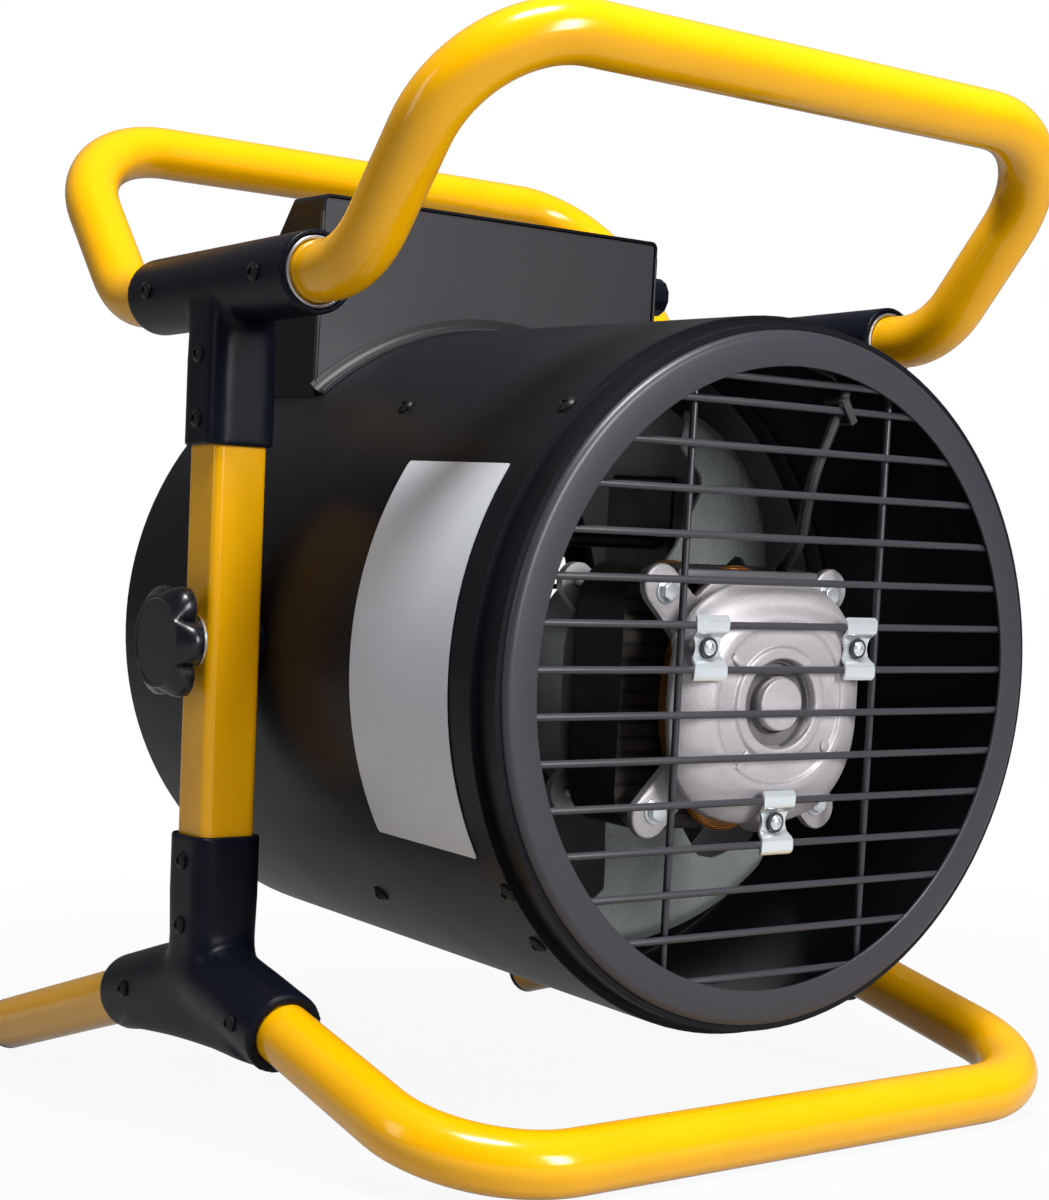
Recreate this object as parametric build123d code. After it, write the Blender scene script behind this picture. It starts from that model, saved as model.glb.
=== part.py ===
from build123d import *
import math
import os

# Portable electric forced air heater: a steel drum with a fan and heating elements, hung on two studs
# between the columns of a bent tube frame. Millimetres, +Z up. The air enters at the rear, +Y, and the
# warm air leaves at the front, -Y. The right side is +X. The origin is the middle of the footprint.

os.makedirs("parts", exist_ok=True)

# ------------------------------------------------------------------ fits and clearances
tube_fit = 0.15  # round and square tubes in their moulded tees
seat_fit = 0.15  # rings and covers set into one another
running_fit = 0.1  # radial, on pieces that turn
press_fit = 0.02  # radial, on pieces that are pushed on for good
rotor_gap = 0.5  # air gap round the rotor

# ------------------------------------------------------------------ tube frame
# Heights and reaches are measured from the tilt pivot, with the columns upright.
tube_diameter = 25.0
column_side = 25.0
column_corner = 4.0
column_wall = 1.5
column_top = 132.0
column_bottom = -124.0

barrel_height = 150.0  # upper tee: a barrel along the heater on a square socket
barrel_diameter = 34.0
barrel_length = 139.0
socket_side = 31.0
socket_corner = 7.0
upper_socket_end = 82.0
barrel_screw_reach = 47.5
barrel_mouth_radius = 14.9  # the wider mouth at the rear, round the carry handle
barrel_mouth_depth = 4.0
tee_end_round = 3.4  # rounded front ends of the barrels and arms
upper_socket_screws = (93.0, 120.0)

hub_height = -140.0  # lower tee: two drooping arms that meet at the hub
arm_diameter = 34.0
rear_arm_length = 65.0
rear_arm_droop = 12.5
front_arm_length = 77.0
front_arm_droop = 16.6
arm_bore_start = 12.0
arm_screw_reach = 50.0
lower_socket_end = -81.0
lower_socket_screws = (-92.0, -119.0)
web_depth = 28.5  # from the hub down to the crown of the arched web
web_thickness = 28.0
web_setback = 6.0  # from the ends of the arms
web_rise = 2.0
web_round = 5.0

handle_inner_end = 14.0  # carry handles, the same at both ends of the barrels
handle_run = 99.0
handle_reach = 173.0
handle_height = 235.0
handle_lower_bend = 45.0
handle_upper_bend = 52.0

foot_bar_reach = 192.8  # from the hub along the arms' axes
foot_bar_bend = 52.0
front_leg_reach = 215.7
leg_cap_thickness = 3.0

tee_screw_head = 7.5
tee_screw_height = 2.2
screw_crown = 0.6  # width of a screw head's top by its foot

# ------------------------------------------------------------------ drum
# Drum pieces are drawn with z along the air flow from the face of the intake ring, y up and x across.
drum_rise = 4.57  # the outlet points up by this much
pivot_depth = 177.4
shell_radius = 145.5
shell_wall = 1.2
shell_start = 14.4
shell_length = 281.0

collar_step = 3.5  # how far the collars stand in from the shell's skin
collar_front = 2.9
collar_wall = 2.35
collar_insert = 19.6
ring_hole_radius = 125.0
ring_sheet = 1.5
ring_skirt = 12.0
ring_chamfer = 3.5

wire_diameter = 3.0
wire_count = 14
wire_lowest = -119.0
wire_pitch = 17.55
wire_weld = 6.0  # how far the wires reach over the ring's flange
upright_reach = 52.7

drum_screw_head = 8.0
drum_screw_height = 2.2
drum_screw_angles = (45.0, 135.0, 225.0, 315.0)
drum_screw_depths = (21.0, 132.4, 288.0)
extra_screw_angle = -34.0
extra_screw_depth = 18.0

# ------------------------------------------------------------------ pivot and lock knobs
stud_diameter = 8.0
stud_head_diameter = 18.0
stud_head_height = 4.0
stud_end_gap = 1.0  # left over in the knob's blind bore
spacer_thickness = 2.0
spacer_diameter = 22.0
washer_diameter = 21.0
washer_thickness = 1.5
knob_diameter = 50.0
knob_thickness = 11.8
knob_boss_diameter = 24.0
knob_boss_height = 5.5
knob_lobes = 6
knob_flute_radius = 7.0
knob_flute_circle = 27.5
knob_face_radius = 20.0
knob_slope = 7.0  # from the face's edge back to the lobes
knob_bore_depth = 13.0

# ------------------------------------------------------------------ motor and fan
motor_drop = 10.8  # the motor hangs this far below the drum's axis
bell_side = 100.0
bell_corner = 36.0
bell_start = 5.0
bell_end = 26.5
bell_edge = 5.0
bell_frame_side = 84.0  # a shallow groove round the bell's face
bell_frame_corner = 29.0
bell_frame_groove = 3.5
bell_frame_depth = 1.2
bell_ring_radius = 23.0  # a raised ring round the bearing's boss
bell_ring_height = 0.5
bell_well_radius = 17.0
bell_well_depth = 5.0
bell_boss_radius = 11.0
bell_wall = 6.0
bell_hollow_radius = 40.0
bearing_seat_wall = 4.0
bell_boss_height = 0.5
bell_rib_width = 4.6
bell_rib_reach = 38.0
core_side = 108.0
core_corner = 16.0
ear_width = 17.0  # the four ears that the through bolts hold
flange_thickness = 4.0
lug_circle = 46.8
lug_radius = 5.5
stator_start = 40.0
stator_end = 70.0
stator_bore = 30.5
coil_radius = 55.0
coil_bore = 33.0
coil_sides = 16
front_bell_start = 84.0
front_bell_end = 105.0
bolt_reach = 44.0
bolt_diameter = 4.0
bolt_head = 7.0
bolt_head_height = 3.0
bearing_radius = 11.0
bearing_width = 7.0
rear_bearing_start = 12.0
front_bearing_start = 89.0
shaft_radius = 4.0
shaft_end = 142.0
shaft_clearance = 1.0
fan_hub_radius = 12.0
fan_hub_start = 115.0
fan_hub_end = 140.0
fan_disc_radius = 38.0
fan_disc_start = 116.6
fan_sheet = 1.6
fan_radius = 124.0
fan_turned = 40.0  # of the first blade from upright
blade_count = 3
blade_root = 22.0
blade_neck = 11.0  # half width at the root
blade_stem = 68.0  # where the blade widens
blade_stem_half_width = 19.0
blade_shoulder = 94.0
blade_half_width = 58.0
blade_corner = 16.0
blade_depth = 36.0
blade_camber = 5.0

clip_width = 17.0
clip_height = 29.0
clip_sheet = 1.5
clip_land = 5.6
clip_waist = 11.5
clip_waist_radius = 6.0
clip_screw_head = 7.0
clip_screw_height = 1.8
clip_screw_shank = 4.0
clip_screw_length = 8.0

# ------------------------------------------------------------------ motor lead
lead_diameter = 5.0
lead_exit_across = -22.0  # where it leaves the drum for the control box
lead_exit_setback = 14.4  # from the rear of the control box
lead_under_shell = 10.0
lead_first = (-24.0, 34.5)  # across and depth where it leaves the coils
lead_second = (-18.0, 12.0, 17.0)
lead_third = (-12.0, 80.0)
lead_tied = (-31.5, 123.0)
lead_turn = (-23.0, 34.0)
lead_dip = 2.0
lead_bends = (30.0, 40.0, 12.0, 24.0, 7.5, 5.0)
grommet_radius = 6.5
grommet_inside = 1.5
grommet_outside = 3.0
tie_width = 3.6
tie_sheet = 1.2
tie_half_width = 4.4
tie_turn = -33.0
tie_across = -25.2
lead_notch_radius = 5.0
lead_notch_drop = 1.0

# ------------------------------------------------------------------ heating part
shield_radius = 128.0
shield_sheet = 1.0
shield_seat_width = 12.0  # the rim that the drum screws hold against the shell
shield_cone = 14.0
shield_end = 286.0
bracket_reach = 96.0
bracket_sheet = 2.0
bracket_start = 194.0
bracket_end = 244.0
element_diameter = 8.5
element_heights = (-50.0, 0.0, 50.0)
element_depths = (206.0, 232.0)
element_overhang = 9.0
cutout_width = 16.0
cutout_height = 10.0
cutout_length = 24.0
cutout_start = 158.0

# ------------------------------------------------------------------ control box on top of the drum
box_half_width = 97.6
box_top = 200.0
box_rear = 217.6
box_top_front = 246.0
box_brow = 152.0
box_front = 285.4
box_sheet = 1.2
box_corner = 3.5
plate_gap = 0.6
plate_sheet = 1.5
plate_lip = 5.0
box_knob_reach = 48.0
box_knob_diameter = 34.0
box_knob_skirt = 4.0
box_knob_grip = 9.0
box_knob_grip_length = 32.0
box_knob_height = 15.0
spindle_radius = 3.0
spindle_length = 12.0
switch_side = 30.0
switch_depth = 22.0
terminal_length = 44.0
terminal_width = 16.0
terminal_height = 14.0
terminal_setback = 7.5  # from the lead's hole
gland_hex = 22.0
gland_hex_height = 5.0
gland_nut_radius = 9.5
gland_nut_height = 13.0
gland_bore = 5.0
gland_thread_radius = 8.0
gland_height = 175.0
gland_setback = 20.4  # from the rear of the control box

# ------------------------------------------------------------------ derived places
tube_radius = tube_diameter / 2
column_x = shell_radius + spacer_thickness + column_side / 2
column_face = column_x + column_side / 2
shell_bore = shell_radius - shell_wall
shell_end = shell_start + shell_length
outlet_face = shell_end + shell_start
collar_radius = shell_radius - collar_step
collar_bore = collar_radius - collar_wall
ring_radius = collar_bore - seat_fit
wire_radius = wire_diameter / 2
wire_plane = ring_sheet + wire_radius
wire_back = ring_sheet + wire_diameter
wire_heights = [wire_lowest + wire_pitch * i for i in range(wire_count)] + [-wire_lowest]
lug_places = [
    (lug_circle * math.cos(math.radians(a)), lug_circle * math.sin(math.radians(a)) - motor_drop)
    for a in (30, 150, 270)
]
lead_exit_depth = box_rear + lead_exit_setback
gland_depth = box_rear + gland_setback
panel_run = (box_front - box_top_front, box_brow - box_top)
panel_length = math.hypot(*panel_run)
panel_angle = math.degrees(math.atan2(-panel_run[1], panel_run[0]))
SIDES = {"right": 1, "left": -1}


# ------------------------------------------------------------------ shared shapes
def rod(radius, start, end):
    """A cylinder along z."""
    return Pos(0, 0, start) * Cylinder(radius, end - start, align=(Align.CENTER, Align.CENTER, Align.MIN))


def tube(radius, bore, start, end):
    return rod(radius, start, end) - rod(bore, start, end)


def prism(outline, start, end):
    """A flat outline pushed along z."""
    return extrude(Pos(0, 0, start) * outline, end - start)


def across_flats(size, sides=8):
    """A regular outline by its size across flats, with a flat at the top."""
    turn = 180 / sides if sides % 4 == 0 else 0
    return Rot(Z=turn) * RegularPolygon(size / 2, sides, major_radius=False)


def turned(points):
    """Revolves a closed (radius, z) outline round z."""
    return revolve(Plane.XZ * make_face(Polyline(*points, close=True)), Axis.Z)


def strip(points, thickness):
    """The closed outline of a bent sheet of even thickness, drawn along its middle line."""
    sides = [[], []]
    for i, (x, y) in enumerate(points):
        before = points[max(i - 1, 0)]
        after = points[min(i + 1, len(points) - 1)]
        runs = [(x - before[0], y - before[1]), (after[0] - x, after[1] - y)]
        runs = [(a / math.hypot(a, b), b / math.hypot(a, b)) for a, b in runs if a or b]
        normals = [(-b, a) for a, b in runs]
        middle = [sum(n[0] for n in normals), sum(n[1] for n in normals)]
        size = math.hypot(*middle)
        middle = [middle[0] / size, middle[1] / size]
        reach = thickness / 2 / (middle[0] * normals[0][0] + middle[1] * normals[0][1])
        for side, sign in zip(sides, (1, -1)):
            side.append((x + sign * reach * middle[0], y + sign * reach * middle[1]))
    return sides[0] + sides[1][::-1]


def screw_head(width, height):
    """A low screw head with eight flats, standing on z = 0."""
    base = across_flats(width)
    return loft([base, Pos(0, 0, height) * scale(base, screw_crown)])


def facing_x(side):
    """Turns z outward along the x axis of one side."""
    return Rot(Y=90 * side)


# ------------------------------------------------------------------ tube frame
def arm_direction(end):
    """The unit direction of a lower tee's arm, as y and z, for the rear (+1) or the front (-1)."""
    droop = math.radians(rear_arm_droop if end > 0 else front_arm_droop)
    return end * math.cos(droop), -math.sin(droop)


def arm_point(end, distance, below=0.0):
    """A point at a distance from the hub along an arm's axis, and below it, as y and z."""
    along_y, along_z = arm_direction(end)
    return (
        along_y * distance + along_z * below * end,
        hub_height + along_z * distance - abs(along_y) * below,
    )


def along_arm(end):
    """Moves a shape drawn along z onto an arm's axis."""
    along_y, along_z = arm_direction(end)
    return Location(Plane(origin=(0, 0, hub_height), x_dir=(1, 0, 0), z_dir=(0, along_y, along_z)))


def column():
    outer = RectangleRounded(column_side, column_side, column_corner)
    bore_side = column_side - 2 * column_wall
    inner = RectangleRounded(bore_side, bore_side, column_corner - column_wall)
    walls = prism(outer, column_bottom, column_top) - prism(inner, column_bottom, column_top)
    stud_hole = Rot(Y=90) * rod(stud_diameter / 2 + running_fit, -column_side, column_side)
    return walls - stud_hole


def column_cavity(start, end):
    side = column_side + 2 * tube_fit
    return prism(RectangleRounded(side, side, column_corner + tube_fit), start, end)


def rounded_end(shape, radius):
    """Rounds the outer rim at the far end of a shape along z."""
    return fillet(shape.edges().sort_by(Axis.Z)[-1], radius)


def upper_tee():
    half = barrel_length / 2
    barrel = rounded_end(rod(barrel_diameter / 2, -half, half), tee_end_round)
    barrel = Pos(0, 0, barrel_height) * Rot(X=90) * barrel
    square = RectangleRounded(socket_side, socket_side, socket_corner)
    socket = prism(square, upper_socket_end, barrel_height)
    bore = rod(tube_radius + tube_fit, -half, half)
    bore += rod(barrel_mouth_radius, -half, barrel_mouth_depth - half)
    bore = Pos(0, 0, barrel_height) * Rot(X=90) * bore
    return barrel + socket - bore - column_cavity(upper_socket_end, column_top)


def lower_tee():
    radius = arm_diameter / 2
    square = RectangleRounded(socket_side, socket_side, socket_corner)
    socket = prism(square, hub_height, lower_socket_end)
    body = socket + Pos(0, 0, hub_height) * Sphere(radius)
    lengths = {1: rear_arm_length, -1: front_arm_length}
    for end, length in lengths.items():
        arm = rod(radius, 0, length)
        body += along_arm(end) * (arm if end > 0 else rounded_end(arm, tee_end_round))
    corners = {
        end: arm_point(end, length - web_setback, radius - web_rise) for end, length in lengths.items()
    }
    arch = make_face(
        [
            ThreePointArc(corners[-1], (0, hub_height - web_depth), corners[1]),
            Line(corners[1], (0, hub_height)),
            Line((0, hub_height), corners[-1]),
        ]
    )
    web = extrude(Plane.YZ * arch, web_thickness / 2, both=True)
    arched = web.edges().filter_by(GeomType.CIRCLE)
    body += fillet(arched, web_round)
    for end, length in lengths.items():
        body -= along_arm(end) * rod(tube_radius + tube_fit, arm_bore_start, length + tube_radius)
    return body - column_cavity(column_bottom, lower_socket_end)


def bent_tube(points, bends):
    path = FilletPolyline(*points, radius=bends)
    return sweep((path ^ 0) * Circle(tube_radius), path=path)


def carry_handle(end):
    """A handle that leaves the barrels towards the rear (+1) or the front (-1) and rises to its bar."""
    side_view = [
        (end * handle_inner_end, barrel_height),
        (end * handle_run, barrel_height),
        (end * handle_reach, handle_height),
    ]
    right = [(column_x, y, z) for y, z in side_view]
    left = [(-column_x, y, z) for y, z in reversed(side_view)]
    bends = [handle_lower_bend, handle_upper_bend, handle_upper_bend, handle_lower_bend]
    return bent_tube(right + left, bends)


def rear_foot_bar():
    inner, corner = arm_point(1, arm_bore_start), arm_point(1, foot_bar_reach)
    points = [(column_x, *inner), (column_x, *corner), (-column_x, *corner), (-column_x, *inner)]
    return bent_tube(points, [foot_bar_bend, foot_bar_bend])


def front_leg():
    return along_arm(-1) * rod(tube_radius, arm_bore_start, front_leg_reach - leg_cap_thickness)


def leg_cap():
    return along_arm(-1) * rod(tube_radius, front_leg_reach - leg_cap_thickness, front_leg_reach)


def tee_screws():
    barrel_face = column_x + barrel_diameter / 2
    arm_face = column_x + arm_diameter / 2
    socket_face = column_x + socket_side / 2
    places = [(barrel_face, y, barrel_height) for y in (-barrel_screw_reach, barrel_screw_reach)]
    places += [(socket_face, 0, z) for z in upper_socket_screws + lower_socket_screws]
    places += [(arm_face, *arm_point(end, arm_screw_reach)) for end in (1, -1)]
    head = screw_head(tee_screw_head, tee_screw_height)
    return [
        Pos(side * x, y, z) * facing_x(side) * head for side in SIDES.values() for x, y, z in places
    ]


# ------------------------------------------------------------------ drum casing
def drum_shell():
    reach = shell_radius + stud_diameter
    stud_holes = Pos(0, 0, pivot_depth) * Rot(Y=90) * rod(stud_diameter / 2 + running_fit, -reach, reach)
    lead_hole = at_lead_exit(rod(grommet_radius + seat_fit, -grommet_radius, grommet_radius))
    return tube(shell_radius, shell_bore, shell_start, shell_end) - stud_holes - lead_hole


def end_collar():
    """A stepped ring: its thick end sits inside the shell, its thin end shows past it."""
    inner_end = shell_start + collar_insert
    insert_radius = shell_bore - seat_fit
    return turned(
        [
            (collar_bore, collar_front),
            (collar_radius, collar_front),
            (collar_radius, shell_start),
            (insert_radius, shell_start),
            (insert_radius, inner_end),
            (collar_bore, inner_end),
        ]
    )


def guard_ring():
    skirt_bore = ring_radius - ring_sheet
    return turned(
        [
            (ring_hole_radius, 0),
            (ring_radius - ring_chamfer, 0),
            (ring_radius, ring_chamfer),
            (ring_radius, ring_skirt),
            (skirt_bore, ring_skirt),
            (skirt_bore, ring_sheet),
            (ring_hole_radius, ring_sheet),
        ]
    )


def guard_wires():
    """Level wires welded behind the ring's flange, and two upright wires behind them."""
    reach = ring_hole_radius + wire_weld
    section = across_flats(wire_diameter)
    wires = []
    for height in wire_heights:
        half = math.sqrt(reach**2 - height**2)
        wires.append(Pos(0, height, wire_plane) * Rot(Y=90) * prism(section, -half, half))
    half = math.sqrt(reach**2 - upright_reach**2)
    for x in (-upright_reach, upright_reach):
        wires.append(Pos(x, 0, wire_plane + wire_diameter) * Rot(X=90) * prism(section, -half, half))
    return wires


def at_outlet(shape):
    """Turns an intake piece round to the other end of the drum."""
    return Pos(0, 0, outlet_face) * Rot(Y=180) * shape


def drum_screws():
    head = Pos(shell_radius, 0, 0) * Rot(Y=90) * screw_head(drum_screw_head, drum_screw_height)
    places = [(depth, angle) for depth in drum_screw_depths for angle in drum_screw_angles]
    places.append((extra_screw_depth, extra_screw_angle))
    return [Pos(0, 0, depth) * Rot(Z=angle) * head for depth, angle in places]


# ------------------------------------------------------------------ pivot hardware and lock knobs
def pivot_stud(side):
    """A round-headed stud from inside the shell through the column into the knob."""
    head_face = math.sqrt(shell_bore**2 - (stud_head_diameter / 2) ** 2) - seat_fit
    head = rod(stud_head_diameter / 2, head_face - stud_head_height, head_face)
    shank_end = column_face + washer_thickness + knob_bore_depth - stud_end_gap
    shank = rod(stud_diameter / 2, head_face, shank_end)
    return Pos(0, 0, pivot_depth) * facing_x(side) * (head + shank)


def pivot_spacer(side):
    end = shell_radius + spacer_thickness
    ring = tube(spacer_diameter / 2, stud_diameter / 2 + running_fit, shell_radius, end)
    return Pos(0, 0, pivot_depth) * facing_x(side) * ring


def pivot_washer(side):
    end = column_face + washer_thickness
    ring = tube(washer_diameter / 2, stud_diameter / 2 + running_fit, column_face, end)
    return facing_x(side) * ring


def lock_knob(side):
    """A star knob on its boss, with the stud's blind bore."""
    boss_start = column_face + washer_thickness
    star_start = boss_start + knob_boss_height
    star_end = star_start + knob_thickness
    star = Circle(knob_diameter / 2)
    for i in range(knob_lobes):
        star -= Rot(Z=360 / knob_lobes * (i + 0.5)) * Pos(knob_flute_circle, 0) * Circle(knob_flute_radius)
    sloped = turned(
        [
            (0, star_start),
            (knob_diameter / 2, star_start),
            (knob_diameter / 2, star_end - knob_slope),
            (knob_face_radius, star_end),
            (0, star_end),
        ]
    )
    knob = prism(star, star_start, star_end) & sloped
    knob += rod(knob_boss_diameter / 2, boss_start, star_start)
    knob -= rod(stud_diameter / 2 + running_fit, boss_start, boss_start + knob_bore_depth)
    return facing_x(side) * knob


# ------------------------------------------------------------------ motor
def on_motor(shape):
    return Pos(0, -motor_drop, 0) * shape


def bolt_places():
    return [(x, y) for x in (-bolt_reach, bolt_reach) for y in (-bolt_reach, bolt_reach)]


def bolt_holes(start, end):
    hole = prism(across_flats(bolt_diameter + 2 * seat_fit), start, end)
    return [Pos(x, y, 0) * hole for x, y in bolt_places()]


def flange(start, end):
    """A bell's foot: its squared outline with an ear at each through bolt."""
    ear_reach = 2 * bolt_reach * math.sqrt(2) + ear_width
    ears = SlotOverall(ear_reach, ear_width)
    outline = RectangleRounded(bell_side, bell_side, bell_corner) + Rot(Z=45) * ears + Rot(Z=-45) * ears
    return prism(outline, start, end)


def bell_face():
    """The cast cap of the rear bell: a framed face with ribs, a raised ring and a well round the boss."""
    cap = prism(RectangleRounded(bell_side, bell_side, bell_corner), bell_start, bell_end)
    cap = chamfer(cap.faces().sort_by(Axis.Z)[0].edges(), bell_edge)
    frame = RectangleRounded(bell_frame_side, bell_frame_side, bell_frame_corner)
    inner_side = bell_frame_side - 2 * bell_frame_groove
    inner = RectangleRounded(inner_side, inner_side, bell_frame_corner - bell_frame_groove)
    cap -= prism(frame - inner, bell_start, bell_start + bell_frame_depth)
    rib = Box(2 * bell_rib_reach, bell_rib_width, bell_ring_height)
    for angle in (45, -45):
        cap += Pos(0, 0, bell_start - bell_ring_height / 2) * Rot(Z=angle) * rib
    cap += rod(bell_ring_radius, bell_start - bell_ring_height, bell_start)
    cap -= rod(bell_well_radius, bell_start - bell_ring_height, bell_start + bell_well_depth)
    return cap + rod(bell_boss_radius, bell_start - bell_boss_height, bell_end)


def motor_rear_bell():
    flange_end = bell_end + flange_thickness
    bell = bell_face() + flange(bell_end, flange_end)
    for x, y in lug_places:
        bell += Pos(x, y + motor_drop, 0) * rod(lug_radius, wire_back, bell_end)
    bell -= rod(bearing_radius + press_fit, rear_bearing_start, flange_end)
    seat_radius = bearing_radius + bearing_seat_wall
    hollow_start = bell_start + bell_well_depth + bell_wall
    bell -= tube(bell_hollow_radius, seat_radius, hollow_start, flange_end)
    bell -= rod(seat_radius, rear_bearing_start + bearing_width, flange_end)
    for hole in bolt_holes(bell_end, flange_end):
        bell -= hole
    for x, y in lug_places:
        bell -= Pos(x, y + motor_drop, 0) * clip_screw_hole()
    return on_motor(bell)


def motor_front_bell():
    flange_end = front_bell_start + flange_thickness
    bell = flange(front_bell_start, flange_end)
    bell += prism(RectangleRounded(bell_side, bell_side, bell_corner), flange_end, front_bell_end)
    bell -= rod(coil_bore, front_bell_start, flange_end)
    bell -= rod(bearing_radius + press_fit, flange_end, front_bearing_start + bearing_width)
    bell -= rod(shaft_radius + shaft_clearance, flange_end, front_bell_end)
    for hole in bolt_holes(front_bell_start, flange_end):
        bell -= hole
    return on_motor(bell)


def stator_core():
    core = prism(RectangleRounded(core_side, core_side, core_corner), stator_start, stator_end)
    core -= rod(stator_bore, stator_start, stator_end)
    for hole in bolt_holes(stator_start, stator_end):
        core -= hole
    return on_motor(core)


def coil_head(start, end):
    """The wound coils' heads at one face of the stator, tied into a ring with flats."""
    outline = across_flats(2 * coil_radius, coil_sides) - across_flats(2 * coil_bore, coil_sides)
    return on_motor(prism(outline, start, end))


def motor_windings():
    rear_start = bell_end + flange_thickness
    return [coil_head(rear_start, stator_start), coil_head(stator_end, front_bell_start)]


def motor_bolts():
    """Through bolts with hexagon heads at the rear and nuts behind the front flange."""
    nut_start = front_bell_start + flange_thickness
    bolt = prism(across_flats(bolt_head, 6), bell_end - bolt_head_height, bell_end)
    bolt += prism(across_flats(bolt_diameter), bell_end, nut_start)
    bolt += prism(across_flats(bolt_head, 6), nut_start, nut_start + bolt_head_height)
    return [on_motor(Pos(x, y, 0) * bolt) for x, y in bolt_places()]


def bearing(start):
    return on_motor(tube(bearing_radius, shaft_radius + running_fit, start, start + bearing_width))


def motor_shaft():
    return on_motor(rod(shaft_radius, rear_bearing_start + rotor_gap, shaft_end))


def rotor():
    return on_motor(tube(stator_bore - rotor_gap, shaft_radius + press_fit, stator_start, stator_end))


def fan_blade():
    """A cambered sheet blade that stands on the disc, reaching up along y."""
    lead, trail = fan_hub_end, fan_hub_end - blade_depth
    middle = (lead + trail) / 2 - blade_camber
    camber = ThreePointArc((-blade_half_width, lead), (0, middle), (blade_half_width, trail))
    sheet = extrude(Plane.XZ * trace(camber, fan_sheet), -fan_radius)
    half_outline = [
        (blade_neck, blade_root),
        (blade_stem_half_width, blade_stem),
        (blade_half_width, blade_shoulder),
        (blade_half_width, fan_radius),
    ]
    other_half = [(-x, y) for x, y in reversed(half_outline)]
    petal = make_face(Polyline(*half_outline, *other_half, close=True))
    petal = fillet(petal.vertices().group_by(Axis.Y)[2], blade_corner)
    return sheet & prism(petal, trail - blade_depth, lead + blade_depth) & rod(fan_radius, 0, 2 * lead)


def fan_wheel():
    wheel = rod(fan_hub_radius, fan_hub_start, fan_hub_end)
    wheel += rod(fan_disc_radius, fan_disc_start, fan_disc_start + fan_sheet)
    for i in range(blade_count):
        wheel += Rot(Z=fan_turned + 360 / blade_count * i) * fan_blade()
    wheel -= rod(shaft_radius + press_fit, fan_hub_start, fan_hub_end)
    return on_motor(wheel)


# ------------------------------------------------------------------ clips that hang the motor on the wires
def clip_screw_hole():
    hole = across_flats(clip_screw_shank + 2 * seat_fit)
    return prism(hole, wire_back - clip_sheet, wire_back + clip_screw_length)


def motor_clip():
    """A waisted strap: its middle lies on a motor lug and its ends hook over two wires."""
    low = wire_back - clip_sheet / 2
    high = ring_sheet - seat_fit - clip_sheet / 2
    inner_bend = wire_pitch / 2 - wire_radius - clip_sheet / 2 - seat_fit
    end = (clip_height - clip_sheet) / 2
    outer_bend = end - (inner_bend - clip_land)
    half_view = [(clip_land, low), (inner_bend, high), (outer_bend, high), (end, low)]
    side_view = [(-y, z) for y, z in reversed(half_view)] + half_view
    outline = make_face(Polyline(*strip(side_view, clip_sheet), close=True))
    strap = extrude(Plane.YZ * outline, clip_width / 2, both=True)
    waist_cut = rod(clip_waist_radius, -clip_width, clip_width)
    for side in (-1, 1):
        strap -= Pos(side * (clip_waist / 2 + clip_waist_radius), 0, 0) * waist_cut
    return strap - clip_screw_hole()


def motor_clips():
    return [Pos(x, y, 0) * motor_clip() for x, y in lug_places]


def clip_screws():
    face = wire_back - clip_sheet
    screw = Pos(0, 0, face) * Rot(X=180) * screw_head(clip_screw_head, clip_screw_height)
    screw += prism(across_flats(clip_screw_shank), face, face + clip_screw_length)
    return [Pos(x, y, 0) * screw for x, y in lug_places]


# ------------------------------------------------------------------ motor lead
def at_lead_exit(shape):
    """Moves a shape drawn along z to the lead's hole in the top of the shell."""
    height = math.sqrt(shell_radius**2 - lead_exit_across**2)
    return Pos(lead_exit_across, height, lead_exit_depth) * Rot(X=-90) * shape


def motor_lead():
    """From the motor's coils up behind the guard wires to the tie, then along the shell to the box."""
    behind_wires = wire_back + lead_diameter / 2 + seat_fit
    coil_reach = coil_radius / math.cos(math.pi / coil_sides) + lead_diameter / 2
    coil_top = math.sqrt(coil_reach**2 - lead_first[0] ** 2) - motor_drop + seat_fit
    under_shell = shell_bore - lead_under_shell
    in_box = terminal_seat() + terminal_height / 2
    points = [
        (lead_first[0], coil_top, lead_first[1]),
        (lead_second[0], coil_top + lead_second[1], lead_second[2]),
        (*lead_third, behind_wires),
        (*lead_tied, behind_wires),
        (lead_turn[0], under_shell - lead_dip, lead_turn[1]),
        (lead_exit_across, under_shell, lead_exit_depth),
        (lead_exit_across, in_box, lead_exit_depth),
        (lead_exit_across, in_box, terminal_start() - seat_fit),
    ]
    path = FilletPolyline(*points, radius=list(lead_bends))
    section = across_flats(lead_diameter, 12)
    lead = sweep((path ^ 0) * section, path=path)
    print("motor lead: bends", lead_bends, "length", round(path.length, 1))
    full = section.area * path.length
    print("motor lead: volume", round(lead.volume), "section times length", round(full))
    return lead


def lead_grommet():
    return at_lead_exit(
        tube(grommet_radius, lead_diameter / 2 + seat_fit, -grommet_inside, grommet_outside)
    )


def cable_tie():
    """A strap round one guard wire and the lead, set across both."""
    inner_depth = wire_diameter + lead_diameter + 3 * seat_fit
    middle = ring_sheet + inner_depth / 2 - seat_fit
    outer = Box(tie_width, 2 * (tie_half_width + tie_sheet), inner_depth + 2 * tie_sheet)
    inner = Box(2 * tie_width, 2 * tie_half_width, inner_depth)
    tied_wire = wire_heights[wire_count - 1]
    return Pos(tie_across, tied_wire, middle) * Rot(Z=tie_turn) * (outer - inner)


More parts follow.
